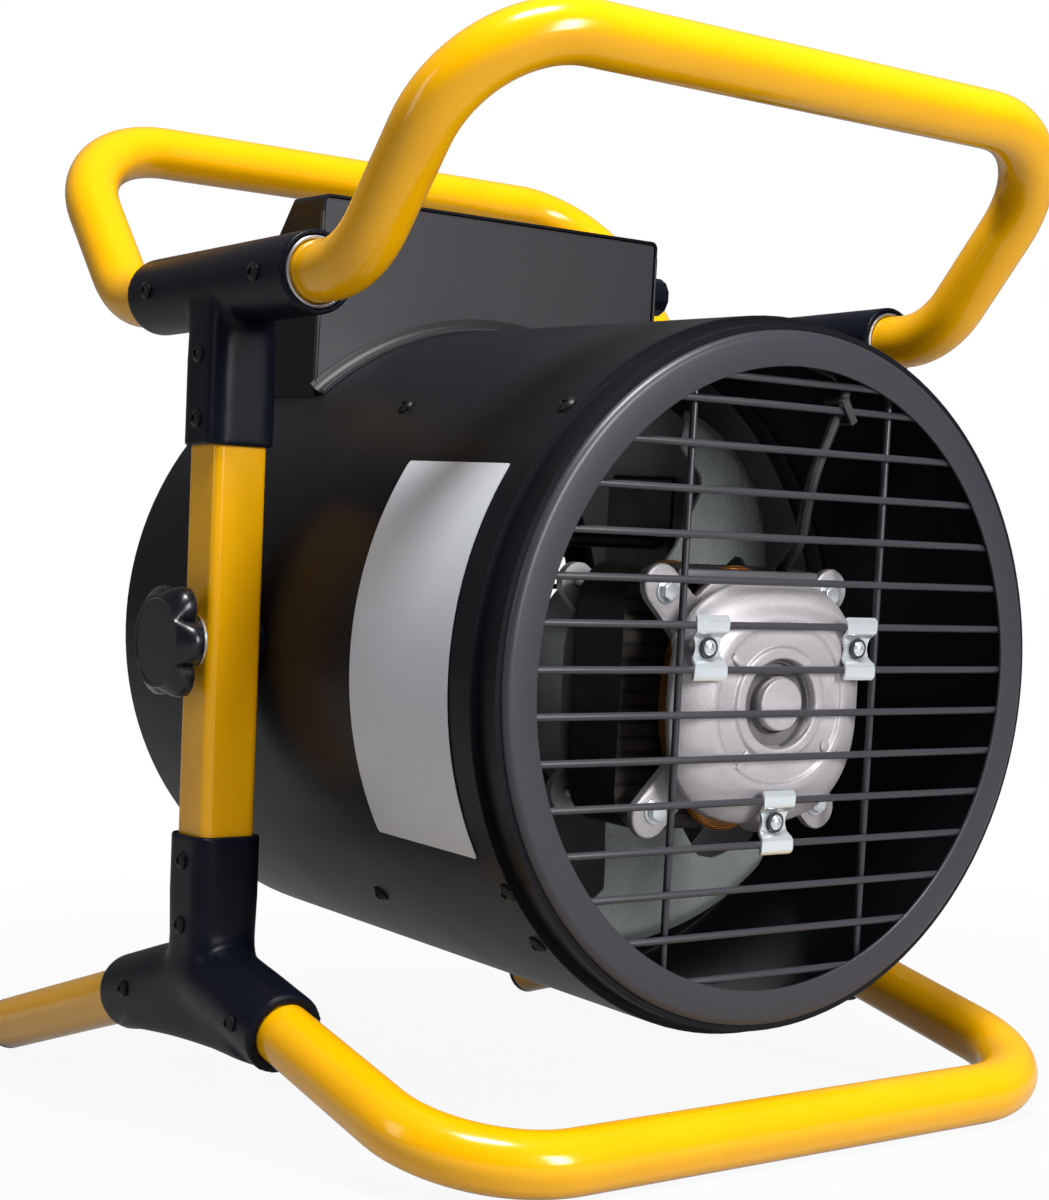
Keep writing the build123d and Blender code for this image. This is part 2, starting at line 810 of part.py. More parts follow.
# ------------------------------------------------------------------ heating part
def heat_shield():
    """A liner that stands off from the shell, flared at its rear to the rim that the screws hold."""
    seat_radius = shell_bore - seat_fit - shield_sheet / 2
    liner_radius = shield_radius - shield_sheet / 2
    seat_middle = drum_screw_depths[1]
    cone_start = seat_middle + shield_seat_width / 2
    middle_line = [
        (seat_radius, seat_middle - shield_seat_width / 2),
        (seat_radius, cone_start),
        (liner_radius, cone_start + shield_cone),
        (liner_radius, shield_end),
    ]
    notch_height = shell_bore - lead_under_shell - lead_notch_drop
    lead_notch = rod(lead_notch_radius, cone_start, cone_start + shield_cone)
    lead_notch = Pos(lead_exit_across, notch_height, 0) * lead_notch
    return turned(strip(middle_line, shield_sheet)) - lead_notch


def element_bracket(side):
    """A plate across the liner that the ends of the elements pass through."""
    outer_face = bracket_reach + bracket_sheet
    liner_bore = shield_radius - shield_sheet - seat_fit
    half_height = math.sqrt(liner_bore**2 - outer_face**2)
    depth = bracket_end - bracket_start
    plate = Pos(bracket_reach + bracket_sheet / 2, 0, bracket_start + depth / 2) * Box(
        bracket_sheet, 2 * half_height, depth
    )
    hole = rod(element_diameter / 2 + seat_fit, bracket_reach - bracket_sheet, outer_face + bracket_sheet)
    for x, y, z in element_places():
        plate -= Pos(x, y, z) * Rot(Y=90) * hole
    return plate if side > 0 else mirror(plate, Plane.YZ)


def element_places():
    return [(0, height, depth) for height in element_heights for depth in element_depths]


def heating_elements():
    """Straight tubular elements across the air flow."""
    half = bracket_reach + bracket_sheet + element_overhang
    return [
        Pos(x, y, z) * Rot(Y=90) * rod(element_diameter / 2, -half, half) for x, y, z in element_places()
    ]


def thermal_cutout():
    top = math.sqrt(shell_bore**2 - (cutout_width / 2) ** 2) - seat_fit
    return Pos(0, top - cutout_height / 2, cutout_start + cutout_length / 2) * Box(
        cutout_width, cutout_height, cutout_length
    )


# ------------------------------------------------------------------ control box
def box_profile(inset):
    """The side view of the box as (y, z), drawn in from its skin; it runs on past the rear and the drum."""
    slope = inset / math.cos(math.radians(90 - panel_angle) / 2)
    front_shift = inset * math.tan(math.radians(90 - panel_angle) / 2)
    top_shift = inset * math.tan(math.radians(panel_angle) / 2)
    rear = box_rear - inset
    floor = shell_radius / 2
    return make_face(
        Polyline(
            (floor, rear),
            (box_top - inset, rear),
            (box_top - inset, box_top_front - top_shift),
            (box_brow - front_shift, box_front - inset),
            (floor, box_front - inset),
            close=True,
        )
    )


def box_solid(inset, corner):
    """The filled box, with its upper side edges rounded."""
    body = extrude(Plane.YZ * box_profile(inset), box_half_width - inset, both=True)
    side_edges = [
        edge
        for face in (body.faces().sort_by(Axis.X)[0], body.faces().sort_by(Axis.X)[-1])
        for edge in face.edges()
        if edge.center().Z > box_rear and edge.center().Y > box_brow
    ]
    return fillet(side_edges, corner)


def on_panel(x, shape):
    """Stands a shape drawn along z on the sloped front panel."""
    middle = ((box_top + box_brow) / 2, (box_top_front + box_front) / 2)
    normal = (0, panel_run[0] / panel_length, -panel_run[1] / panel_length)
    return Location(Plane(origin=(x, *middle), x_dir=(1, 0, 0), z_dir=normal)) * shape


def at_gland(shape):
    """Stands a shape drawn along z on the box's left side wall."""
    return Pos(-box_half_width, gland_height, gland_depth) * facing_x(-1) * shape


def control_box_cover():
    cover = box_solid(0, box_corner) - box_solid(box_sheet, box_corner - box_sheet)
    cover -= rod(shell_radius + seat_fit, 0, 2 * box_front)
    for x in (-box_knob_reach, box_knob_reach):
        cover -= on_panel(x, rod(spindle_radius + running_fit, -2 * box_sheet, box_sheet))
    return cover - at_gland(rod(gland_thread_radius + seat_fit, -2 * box_sheet, box_sheet))


def box_rear_plate():
    """Closes the box towards the intake; a lip along its foot lies on the drum."""
    half_width = box_half_width - box_sheet - plate_gap
    top = box_top - box_sheet - plate_gap
    start = box_rear + plate_gap
    foot = shell_radius + seat_fit
    corner = box_corner - box_sheet - plate_gap
    sheet = prism(RectangleRounded(2 * half_width, 2 * top, corner), start, start + plate_sheet)
    sheet += tube(foot + plate_sheet, foot, start - plate_lip, start + plate_sheet)
    above_drum = Pos(0, shell_radius, start) * Box(2 * half_width, shell_radius, 2 * plate_lip)
    return (sheet & above_drum) - rod(foot, start - plate_lip, start + plate_lip)


def box_knob(x):
    """A skirted pointer knob with its spindle."""
    foot = seat_fit
    skirt = prism(across_flats(box_knob_diameter, 24), foot, foot + box_knob_skirt)
    grip = Pos(0, 0, foot) * Box(
        box_knob_grip,
        box_knob_grip_length,
        box_knob_height,
        align=(Align.CENTER, Align.CENTER, Align.MIN),
    )
    return on_panel(x, skirt + grip + rod(spindle_radius, foot - spindle_length, foot))


def switch_body(x):
    body = Pos(0, 0, -box_sheet - switch_depth / 2) * Box(switch_side, switch_side, switch_depth)
    bore = rod(spindle_radius + running_fit, -spindle_length - box_sheet, 0)
    return on_panel(x, body - bore)


def terminal_seat():
    """The height of the shell's crown, which the terminal block stands on."""
    return shell_radius + seat_fit


def terminal_start():
    return lead_exit_depth + terminal_setback


def terminal_block():
    return Pos(0, terminal_seat() + terminal_height / 2, terminal_start() + terminal_width / 2) * Box(
        terminal_length, terminal_height, terminal_width
    )


def cable_gland():
    """The empty gland for the mains cord: body and dome nut outside, locknut inside."""
    hexagon = across_flats(gland_hex, 6)
    gland = prism(hexagon, 0, gland_hex_height)
    nut_end = gland_hex_height + gland_nut_height
    gland += prism(across_flats(2 * gland_nut_radius, 12), gland_hex_height, nut_end)
    gland += rod(gland_thread_radius, -2 * gland_hex_height, 0)
    gland += prism(hexagon, -box_sheet - gland_hex_height, -box_sheet)
    bore = rod(gland_bore, -2 * gland_hex_height, nut_end)
    return at_gland(gland - bore)


# ------------------------------------------------------------------ nodes
nodes = {}


def add(name, shapes, place):
    """Keeps a node's solids, placed in the part's frame."""
    solids = shapes if isinstance(shapes, list) else [shapes]
    nodes[name] = [place * solid for solid in solids]


# The frame leans until the rear foot bar and the lower edge of the front leg caps share the ground.
edge_y, edge_z = arm_point(-1, front_leg_reach, tube_radius)
bar_y, bar_z = arm_point(1, foot_bar_reach)
bar_distance = math.hypot(bar_y - edge_y, bar_z - edge_z)
bar_angle = math.atan2(bar_z - edge_z, bar_y - edge_y)
frame_lean = math.degrees(bar_angle - math.asin(tube_radius / bar_distance))

upright = Rot(X=-frame_lean)
tilted = Rot(X=-drum_rise)
in_drum = tilted * Pos(0, pivot_depth, 0) * Rot(X=90)

for side_name, side in SIDES.items():
    across = upright * Pos(side * column_x, 0, 0)
    add(side_name + "_column", column(), across)
    add(side_name + "_upper_tee", upper_tee(), across)
    add(side_name + "_lower_tee", lower_tee(), across)
    add(side_name + "_front_leg", front_leg(), across)
    add(side_name + "_leg_cap", leg_cap(), across)
    add(side_name + "_lock_knob", lock_knob(side), upright)
    add(side_name + "_element_bracket", element_bracket(side), in_drum)
add("rear_handle", carry_handle(1), upright)
add("front_handle", carry_handle(-1), upright)
add("rear_foot_bar", rear_foot_bar(), upright)
add("tee_screws", tee_screws(), upright)
add("knob_washers", [pivot_washer(side) for side in SIDES.values()], upright)

add("drum_shell", drum_shell(), in_drum)
add("intake_collar", end_collar(), in_drum)
add("intake_guard_ring", guard_ring(), in_drum)
add("intake_guard_wires", guard_wires(), in_drum)
add("outlet_collar", at_outlet(end_collar()), in_drum)
add("outlet_guard_ring", at_outlet(guard_ring()), in_drum)
add("outlet_guard_wires", [at_outlet(wire) for wire in guard_wires()], in_drum)
add("drum_screws", drum_screws(), in_drum)
add("pivot_studs", [pivot_stud(side) for side in SIDES.values()], in_drum)
add("pivot_spacers", [pivot_spacer(side) for side in SIDES.values()], in_drum)

add("motor_rear_bell", motor_rear_bell(), in_drum)
add("motor_front_bell", motor_front_bell(), in_drum)
add("stator_core", stator_core(), in_drum)
add("motor_windings", motor_windings(), in_drum)
add("motor_bolts", motor_bolts(), in_drum)
add("motor_bearings", [bearing(rear_bearing_start), bearing(front_bearing_start)], in_drum)
add("motor_clips", motor_clips(), in_drum)
add("clip_screws", clip_screws(), in_drum)
add("motor_lead", motor_lead(), in_drum)
add("lead_grommet", lead_grommet(), in_drum)
add("cable_tie", cable_tie(), in_drum)
add("motor_shaft", motor_shaft(), in_drum)
add("motor_rotor", rotor(), in_drum)
add("fan_wheel", fan_wheel(), in_drum)

add("heat_shield", heat_shield(), in_drum)
add("heating_elements", heating_elements(), in_drum)
add("thermal_cutout", thermal_cutout(), in_drum)

add("control_box_cover", control_box_cover(), in_drum)
add("box_rear_plate", box_rear_plate(), in_drum)
add("selector_switch", switch_body(box_knob_reach), in_drum)
add("thermostat", switch_body(-box_knob_reach), in_drum)
add("selector_knob", box_knob(box_knob_reach), in_drum)
add("thermostat_knob", box_knob(-box_knob_reach), in_drum)
add("terminal_block", terminal_block(), in_drum)
add("cable_gland", cable_gland(), in_drum)

# Put the origin under the middle of the whole part, on the ground.
boxes = [solid.bounding_box() for solids in nodes.values() for solid in solids]
low = [min(getattr(box.min, axis) for box in boxes) for axis in "XYZ"]
high = [max(getattr(box.max, axis) for box in boxes) for axis in "XYZ"]
to_origin = Pos(-(low[0] + high[0]) / 2, -(low[1] + high[1]) / 2, -low[2])

for name, solids in nodes.items():
    placed = [to_origin * solid for solid in solids]
    export_step(placed[0] if len(placed) == 1 else Compound(placed), f"parts/{name}.step")


def told(what, place):
    """Prints a joint's anchor in metres and its axis."""
    axis = (place * Pos(0, 0, 1)).position - place.position
    spot = [round(value / 1000, 5) for value in place.position]
    print(what, spot, [round(value, 6) for value in axis])


print("size", [round(b - a, 2) for a, b in zip(low, high)], "lean", round(frame_lean, 3))
told("tilt pivot, axis +X:", to_origin * Rot(Y=90))
for side_name, side in SIDES.items():
    told(side_name + " lock knob:", to_origin * upright * Pos(side * column_face, 0, 0) * Rot(Y=90))
told("fan axis along the air flow:", to_origin * in_drum * Pos(0, -motor_drop, fan_disc_start))
told("selector knob:", to_origin * in_drum * on_panel(box_knob_reach, Pos(0, 0, 0)))
told("thermostat knob:", to_origin * in_drum * on_panel(-box_knob_reach, Pos(0, 0, 0)))
told("cable gland, outward:", to_origin * in_drum * at_gland(Pos(0, 0, 0)))
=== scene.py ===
import math

import bmesh
import bpy
from mathutils import Matrix, Vector

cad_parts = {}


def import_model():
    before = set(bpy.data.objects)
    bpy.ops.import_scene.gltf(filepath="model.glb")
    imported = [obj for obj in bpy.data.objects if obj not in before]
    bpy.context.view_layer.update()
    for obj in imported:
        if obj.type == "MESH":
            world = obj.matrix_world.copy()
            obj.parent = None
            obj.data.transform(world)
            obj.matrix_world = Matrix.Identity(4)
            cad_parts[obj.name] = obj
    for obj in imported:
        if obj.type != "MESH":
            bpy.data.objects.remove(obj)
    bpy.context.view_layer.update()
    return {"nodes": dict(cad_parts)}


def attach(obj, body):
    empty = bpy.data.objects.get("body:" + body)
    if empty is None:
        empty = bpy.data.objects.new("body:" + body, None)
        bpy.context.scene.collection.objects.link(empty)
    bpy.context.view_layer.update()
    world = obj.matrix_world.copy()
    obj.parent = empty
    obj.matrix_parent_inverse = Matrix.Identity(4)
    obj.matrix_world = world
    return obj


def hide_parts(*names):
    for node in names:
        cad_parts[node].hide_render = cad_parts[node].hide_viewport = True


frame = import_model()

nodes = frame["nodes"]

# Shapes are drawn in millimetres in the way the heater's sizes are given, and then put in place.
# Frame pieces have the tilt pivot at zero and upright columns. Drum pieces have z along the air flow from
# the face of the intake ring, y up and x across.
SIDES = {"right": 1, "left": -1}
MM = Matrix.Scale(0.001, 4)
PIVOT = Matrix.Translation((0.0, 0.01125, 0.20331))
LEAN = 2.832  # degrees, of the columns
RISE = 4.57  # degrees, of the drum's axis
PIVOT_DEPTH = 177.4
OUTLET_FACE = 309.8


def turn(degrees, axis):
    return Matrix.Rotation(math.radians(degrees), 4, axis)


def shift(x, y, z):
    return Matrix.Translation((x, y, z))


IN_FRAME = PIVOT @ turn(-LEAN, "X") @ MM
IN_DRUM = PIVOT @ turn(-RISE, "X") @ MM @ shift(0, PIVOT_DEPTH, 0) @ turn(90, "X")
AT_OUTLET = shift(0, 0, OUTLET_FACE) @ turn(180, "Y")


# ------------------------------------------------------------------ finishes
class Value:
    """A socket that varies over a surface. Arithmetic on it adds Math nodes."""

    def __init__(self, maker, socket):
        self.maker = maker
        self.socket = socket

    def maths(self, operation, *inputs, clamp=False):
        settings = {"operation": operation, "use_clamp": clamp}
        return self.maker.node("ShaderNodeMath", settings, dict(enumerate(inputs)))

    def __add__(self, other):
        return self.maths("ADD", self, other)

    def __sub__(self, other):
        return self.maths("SUBTRACT", self, other)

    def __rsub__(self, other):
        return self.maths("SUBTRACT", other, self)

    def __mul__(self, other):
        return self.maths("MULTIPLY", self, other)

    def __lt__(self, other):
        return self.maths("LESS_THAN", self, other)

    __radd__ = __add__
    __rmul__ = __mul__

    def fraction(self):
        return self.maths("FRACT", self)

    def sine(self):
        return self.maths("SINE", self)

    def between(self, low, high):
        """0 at low, 1 at high, and clamped."""
        return self.maths("MULTIPLY", self - low, 1 / (high - low), clamp=True)


class Nodes:
    """A node tree, and the one way that nodes are added to it."""

    def __init__(self, tree):
        self.tree = tree

    def node(self, kind, settings, inputs, output=0):
        made = self.tree.nodes.new(kind)
        for name, value in settings.items():
            setattr(made, name, value)
        for key, value in inputs.items():
            self.feed(made.inputs[key], value)
        return Value(self, made.outputs[output])

    def feed(self, socket, value):
        if isinstance(value, Value):
            self.tree.links.new(value.socket, socket)
        elif socket.type == "RGBA":
            socket.default_value = (*value, 1)
        else:
            socket.default_value = value


class Finish(Nodes):
    """A material round one Principled shader. Even values are set on its sockets, varying ones are linked."""

    def __init__(self, name, slot, **even):
        self.slot = slot
        self.material = bpy.data.materials.new(name)
        self.material.use_nodes = True
        super().__init__(self.material.node_tree)
        self.shader = self.tree.nodes["Principled BSDF"]
        self.place = self.node("ShaderNodeTexCoord", {}, {}, "Object")
        for socket, value in even.items():
            self.shade(socket, value)

    def shade(self, socket, value):
        self.feed(self.shader.inputs[socket.replace("_", " ").title().replace("Ior", "IOR")], value)

    def noise(self, scale, detail=2.0, roughness=0.5):
        inputs = {"Vector": self.place, "Scale": scale, "Detail": detail, "Roughness": roughness}
        return self.node("ShaderNodeTexNoise", {}, inputs)

    def cells(self, scale):
        return self.node("ShaderNodeTexVoronoi", {}, {"Vector": self.place, "Scale": scale})

    def axis(self, letter):
        return self.node("ShaderNodeSeparateXYZ", {}, {0: self.place}, letter)

    def blend(self, factor, low, high):
        """Between two colours. A Mix node's sockets for colours are its inputs 6 and 7 and its output 2."""
        return self.node("ShaderNodeMix", {"data_type": "RGBA"}, {0: factor, 6: low, 7: high}, 2)

    def colour(self, value):
        self.shade("base_color", value)

    def rough(self, value):
        self.shade("roughness", value)

    def relief(self, height, depth):
        """Bumps of a depth in metres."""
        self.shade("normal", self.node("ShaderNodeBump", {}, {"Height": height, "Distance": depth}))


FINE = 5e-7  # relief of smooth paint, plastic and metal
ORANGE_PEEL = 4e-6


def powder_coat(name, slot, base, shade, roughness, depth=ORANGE_PEEL, **even):
    """Stoved powder paint: faint orange peel, and a little unevenness in colour and gloss."""
    finish = Finish(name, slot, **even)
    peel = finish.noise(620, 3.0, 0.55)
    cloud = finish.noise(26)
    finish.colour(finish.blend(cloud.between(0.3, 0.75), base, shade))
    finish.rough(roughness + (cloud - 0.5) * 0.08 + (peel - 0.5) * 0.06)
    finish.relief(peel, depth)
    return finish


def moulding(name, slot, base, roughness, depth=2e-5, **even):
    """Moulded plastic with a fine eroded grain from its tool."""
    finish = Finish(name, slot, **even)
    fine = finish.noise(1400)
    flow = finish.noise(18, 3.0)
    finish.colour(finish.blend(flow.between(0.35, 0.7), base, tuple(1.35 * part for part in base)))
    finish.rough(roughness + (flow - 0.5) * 0.1 + (fine - 0.5) * 0.08)
    finish.relief(fine, depth)
    return finish


def metal(name, slot, base, tint, roughness, metallic=1.0, **even):
    """Plain or plated metal with a fine grain and soft clouds."""
    finish = Finish(name, slot, metallic=metallic, **even)
    fine = finish.noise(900, 3.0, 0.6)
    cloud = finish.noise(45, 3.0)
    finish.colour(finish.blend(cloud.between(0.3, 0.7), base, tint))
    finish.rough(roughness + (cloud - 0.5) * 0.12 + (fine - 0.5) * 0.02)
    finish.relief(fine, FINE)
    return finish


def cast_metal():
    """Die-cast aluminium: cool grey with a faint warm tone, a fine grain and soft flow clouds."""
    finish = Finish("die_cast_aluminium", "cast_aluminium", metallic=0.35)
    grain = finish.noise(1100, 4.0, 0.65)
    pits = finish.cells(700)
    cloud = finish.noise(38, 3.0)
    tone = finish.blend(cloud.between(0.3, 0.72), (0.50, 0.472, 0.495), (0.43, 0.406, 0.425))
    finish.colour(finish.blend(grain.between(0.3, 0.48), (0.37, 0.35, 0.365), tone))
    finish.rough(0.46 + (grain - 0.5) * 0.2)
    finish.relief(grain + pits * 0.4, 8e-5)
    return finish


def laminated_steel():
    """The stator's stack of sheets, seen as fine lines across the air flow."""
    sheets_a_metre = 2000
    finish = Finish("laminated_stack", "core_steel", metallic=0.2)
    gap = (finish.axis("Y") * sheets_a_metre).fraction() < 0.28
    rust = finish.noise(60, 4.0)
    sheet = finish.blend(rust, (0.018, 0.016, 0.015), (0.040, 0.030, 0.024))
    finish.colour(finish.blend(gap, sheet, (0.006, 0.005, 0.005)))
    finish.rough(0.4 + rust * 0.2)
    finish.relief(1 - gap, 6e-5)
    return finish


def copper_coils():
    """Enamelled copper wire laid side by side, the grooves between the turns darkened as painted shade."""
    turns_a_metre = 1250
    finish = Finish("copper_coils", "copper_wire", metallic=0.5, coat_weight=0.4, coat_roughness=0.15)
    wander = finish.noise(90, 3.0)
    across = ((finish.axis("Z") + wander * 0.0012) * turns_a_metre).fraction()
    ridge = (across * math.tau).sine() * 0.5 + 0.5
    shade = finish.blend(finish.noise(140).between(0.3, 0.7), (0.80, 0.33, 0.055), (0.58, 0.20, 0.03))
    # painted shade: the grooves between the turns are darker
    finish.colour(finish.blend(ridge.between(0.1, 0.5), (0.12, 0.035, 0.01), shade))
    finish.rough(0.32 + (wander - 0.5) * 0.15)
    finish.relief(ridge, 3e-4)
    return finish


def smooth_rubber():
    """A dull sleeve with a little dust on it."""
    finish = Finish("lead_sleeve", "black_rubber")
    dust = finish.noise(160, 4.0)
    finish.colour(finish.blend(dust.between(0.4, 0.8), (0.012, 0.012, 0.013), (0.03, 0.03, 0.032)))
    finish.rough(0.48 + (dust - 0.5) * 0.2)
    finish.relief(finish.noise(900), 2e-5)
    return finish


yellow_powder = powder_coat(
    "yellow_powder_coat",
    "yellow_paint",
    (0.83, 0.405, 0.0006),
    (0.79, 0.375, 0.0004),
    0.17,
    FINE,
    specular_ior_level=0.4,
)
drum_powder = powder_coat(
    "black_drum_powder_coat",
    "drum_paint",
    (0.0062, 0.0066, 0.0094),
    (0.0048, 0.0052, 0.0076),
    0.36,
    specular_ior_level=0.13,
)
# painted sheen: the box's rear plate gets a lighter copy of the drum's black paint, for the light on its face
panel_powder_painted_sheen = powder_coat(
    "box_panel_coat_with_painted_sheen", "drum_paint", (0.024, 0.0225, 0.029), (0.020, 0.019, 0.025), 0.42
)
foot_powder = powder_coat(
    "bent_foot_powder_coat",
    "drum_paint",
    (0.007, 0.007, 0.009),
    (0.006, 0.006, 0.008),
    0.46,
    specular_ior_level=0.35,
)
ring_powder = powder_coat(
    "grey_ring_powder_coat", "ring_paint", (0.026, 0.0248, 0.033), (0.023, 0.0222, 0.029), 0.4
)
wire_powder = powder_coat(
    "wire_powder_coat", "wire_paint", (0.034, 0.033, 0.041), (0.028, 0.027, 0.035), 0.36
)
plate_pale = powder_coat("bare_plate", "drum_paint", (0.56, 0.58, 0.62), (0.52, 0.54, 0.58), 0.34)
scale_white = powder_coat("scale_marks", "pale_plastic", (0.72, 0.72, 0.70), (0.68, 0.68, 0.66), 0.4)
tee_moulding = moulding(
    "tee_moulding", "black_moulding", (0.0028, 0.0036, 0.0080), 0.36, specular_ior_level=0.12
)
knob_moulding = moulding(
    "knob_moulding", "black_moulding", (0.0038, 0.0044, 0.0068), 0.27, FINE, specular_ior_level=0.35
)
pale_moulding = moulding("pale_moulding", "pale_plastic", (0.55, 0.53, 0.47), 0.35, 1e-5)
screw_black = metal(
    "black_screws",
    "black_screws",
    (0.004, 0.004, 0.005),
    (0.007, 0.007, 0.008),
    0.4,
    metallic=0.0,
    specular_ior_level=0.22,
)
zinc = metal("bright_zinc", "zinc_plate", (0.78, 0.83, 0.85), (0.68, 0.74, 0.78), 0.27, 0.7)
steel = metal("turned_steel", "core_steel", (0.42, 0.42, 0.43), (0.36, 0.36, 0.37), 0.3)
mouth_steel = metal("bare_tube_end", "zinc_plate", (0.46, 0.46, 0.48), (0.36, 0.36, 0.39), 0.33, 0.8)
fan_metal = metal("fan_sheet_metal", "fan_sheet", (0.44, 0.48, 0.47), (0.37, 0.41, 0.40), 0.28, 0.35)
element_metal = metal("element_sheath", "element_steel", (0.16, 0.14, 0.12), (0.09, 0.08, 0.07), 0.42)
# painted shade: the heat shield and the element brackets are darkened to stand for the shade inside the drum
interior_sheet_painted_shade = metal("interior_sheet_shade", "zinc_plate", (0.030, 0.031, 0.034), (0.055, 0.053, 0.054), 0.42, 0.8)
# painted shade: a dark casting colour for the shadow in the well round the boss
well_shade_paint = metal("well_floor_painted_shade", "cast_aluminium", (0.09, 0.08, 0.09), (0.16, 0.15, 0.16), 0.6, 0.0)
front_cast = metal("machined_casting", "cast_aluminium", (0.80, 0.80, 0.81), (0.70, 0.70, 0.71), 0.3, 0.2)
shade_cast = metal("shaded_casting", "cast_aluminium", (0.17, 0.16, 0.18), (0.13, 0.12, 0.14), 0.4, 0.2)
die_cast = cast_metal()
lamination = laminated_steel()
copper = copper_coils()
rubber = smooth_rubber()


def dress(finish, *names):
    """Gives carried-over nodes their finish."""
    for name in names:
        for place in nodes[name].material_slots:
            place.material = finish.material


dress(yellow_powder, "right_column", "left_column", "right_front_leg", "left_front_leg")
dress(yellow_powder, "rear_handle", "front_handle", "rear_foot_bar")
dress(tee_moulding, "right_upper_tee", "left_upper_tee", "right_lower_tee", "left_lower_tee")
dress(tee_moulding, "pivot_spacers", "selector_switch", "cable_gland", "right_leg_cap", "left_leg_cap")
dress(knob_moulding, "right_lock_knob", "left_lock_knob", "selector_knob", "thermostat_knob")
dress(drum_powder, "drum_shell", "intake_collar", "outlet_collar", "control_box_cover")
# The rear plate's lighter paint is a painted sheen.
dress(panel_powder_painted_sheen, "box_rear_plate")
dress(ring_powder, "intake_guard_ring", "outlet_guard_ring")
dress(wire_powder, "intake_guard_wires", "outlet_guard_wires")
dress(screw_black, "tee_screws", "drum_screws")
dress(die_cast, "motor_rear_bell")
dress(front_cast, "motor_front_bell")
dress(lamination, "stator_core", "motor_rotor")
dress(steel, "motor_shaft", "motor_bearings", "pivot_studs")
dress(copper, "motor_windings")
dress(zinc, "motor_clips", "clip_screws", "motor_bolts", "knob_washers", "thermostat")
# The heat shield and brackets are darkened as painted shade.
dress(interior_sheet_painted_shade, "heat_shield", "right_element_bracket", "left_element_bracket")
dress(fan_metal, "fan_wheel")
dress(element_metal, "heating_elements")
dress(rubber, "motor_lead", "lead_grommet", "cable_tie")
dress(pale_moulding, "terminal_block", "thermal_cutout")


# ------------------------------------------------------------------ shared shapes
def outline(points, closed=True):
    """Joins (x, z) points by edges. A third number at a point rounds its corner by that radius."""
    shape = bmesh.new()
    verts = [shape.verts.new((point[0], 0, point[1])) for point in points]
    for pair in zip(verts, verts[1:]):
        shape.edges.new(pair)
    if closed:
        shape.edges.new((verts[-1], verts[0]))
    for vert, point in zip(verts, points):
        for radius in point[2:]:
            bmesh.ops.bevel(
                shape,
                geom=[vert],
                offset=radius,
                segments=5,
                profile=0.5,
                affect="VERTICES",
                material=-1,
            )
    return shape


def spun(points, steps=180, closed=True):
    """Spins a (radius, z) outline round z."""
    shape = outline(points, closed)
    geometry = list(shape.verts) + list(shape.edges)
    bmesh.ops.spin(
        shape, geom=geometry, axis=(0, 0, 1), cent=(0, 0, 0), angle=math.tau, steps=steps, use_merge=True
    )
    return shape


def soften(shape, edges, radius):
    bmesh.ops.bevel(
        shape, geom=edges, offset=radius, segments=3, profile=0.5, affect="EDGES", material=-1
    )


def rod(radius, start, end, sides=20, soft=0.0):
    """A cylinder along z, with softened ends."""
    shape = bmesh.new()
    bmesh.ops.create_cone(
        shape,
        cap_ends=True,
        segments=sides,
        radius1=radius,
        radius2=radius,
        depth=end - start,
        matrix=shift(0, 0, (start + end) / 2),
    )
    if soft:
        rims = [edge for edge in shape.edges if abs(edge.verts[0].co.z - edge.verts[1].co.z) < 1e-6]
        soften(shape, rims, soft)
    return shape


def block(x, y, z, soft=0.0):
    """A box round the origin, with softened edges."""
    shape = bmesh.new()
    bmesh.ops.create_cube(shape, size=1.0, matrix=Matrix.Diagonal((x, y, z, 1)))
    if soft:
        soften(shape, list(shape.edges), soft)
    return shape


def grid(columns, rows):
    """A flat square from -1 to 1, to be bent."""
    shape = bmesh.new()
    bmesh.ops.create_grid(shape, x_segments=columns, y_segments=rows, size=1.0)
    return shape


def thickened(sheet, thickness):
    bmesh.ops.recalc_face_normals(sheet, faces=sheet.faces)
    bmesh.ops.solidify(sheet, geom=sheet.faces, thickness=thickness)
    return sheet


def placed(shape, place):
    shape.transform(place)
    return shape


def joined(*shapes):
    whole = bmesh.new()
    for shape in shapes:
        pattern = bpy.data.meshes.new("pattern")
        shape.to_mesh(pattern)
        shape.free()
        whole.from_mesh(pattern)
        bpy.data.meshes.remove(pattern)
    return whole


def repeated(one, places):
    """Copies of one shape, joined."""
    whole = joined(*[placed(one.copy(), place) for place in places])
    one.free()
    return whole


def piece(name, shape, place, finish, body, *replaced, crease=32):
    """Closes a shape, puts it in place on its body and gives it its finish."""
    bmesh.ops.remove_doubles(shape, verts=shape.verts, dist=0.0004)
    bmesh.ops.recalc_face_normals(shape, faces=shape.faces)
    shape.transform(place)
    mesh = bpy.data.meshes.new(name)
    shape.to_mesh(mesh)
    shape.free()
    mesh.shade_smooth()
    mesh.set_sharp_from_angle(angle=math.radians(crease))
    mesh.materials.append(finish.material)
    made = bpy.data.objects.new(name, mesh)
    bpy.context.scene.collection.objects.link(made)
    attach(made, body)
    if replaced:
        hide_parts(*replaced)


# ------------------------------------------------------------------ guard grilles
RING_HOLE = 125.0
RING_RADIUS = 139.5
RING_SHEET = 1.5
RING_SKIRT = 12.0
WIRE_RADIUS = 1.5
WIRE_WELD = 6.0  # how far the wires reach past the ring's hole
WIRE_REACH = 119.0
WIRE_PITCH = 17.55
WIRE_HEIGHTS = [WIRE_PITCH * step - WIRE_REACH for step in range(14)] + [WIRE_REACH]
WIRE_DEPTH = 3.0
UPRIGHT_DEPTH = 5.9
UPRIGHT_REACH = 52.7


def guard_wire(off_middle):
    """A wire along z that spans the ring at a distance from its middle."""
    half = math.sqrt((RING_HOLE + WIRE_WELD) ** 2 - off_middle**2)
    return rod(WIRE_RADIUS, -half, half, 14, 0.5)


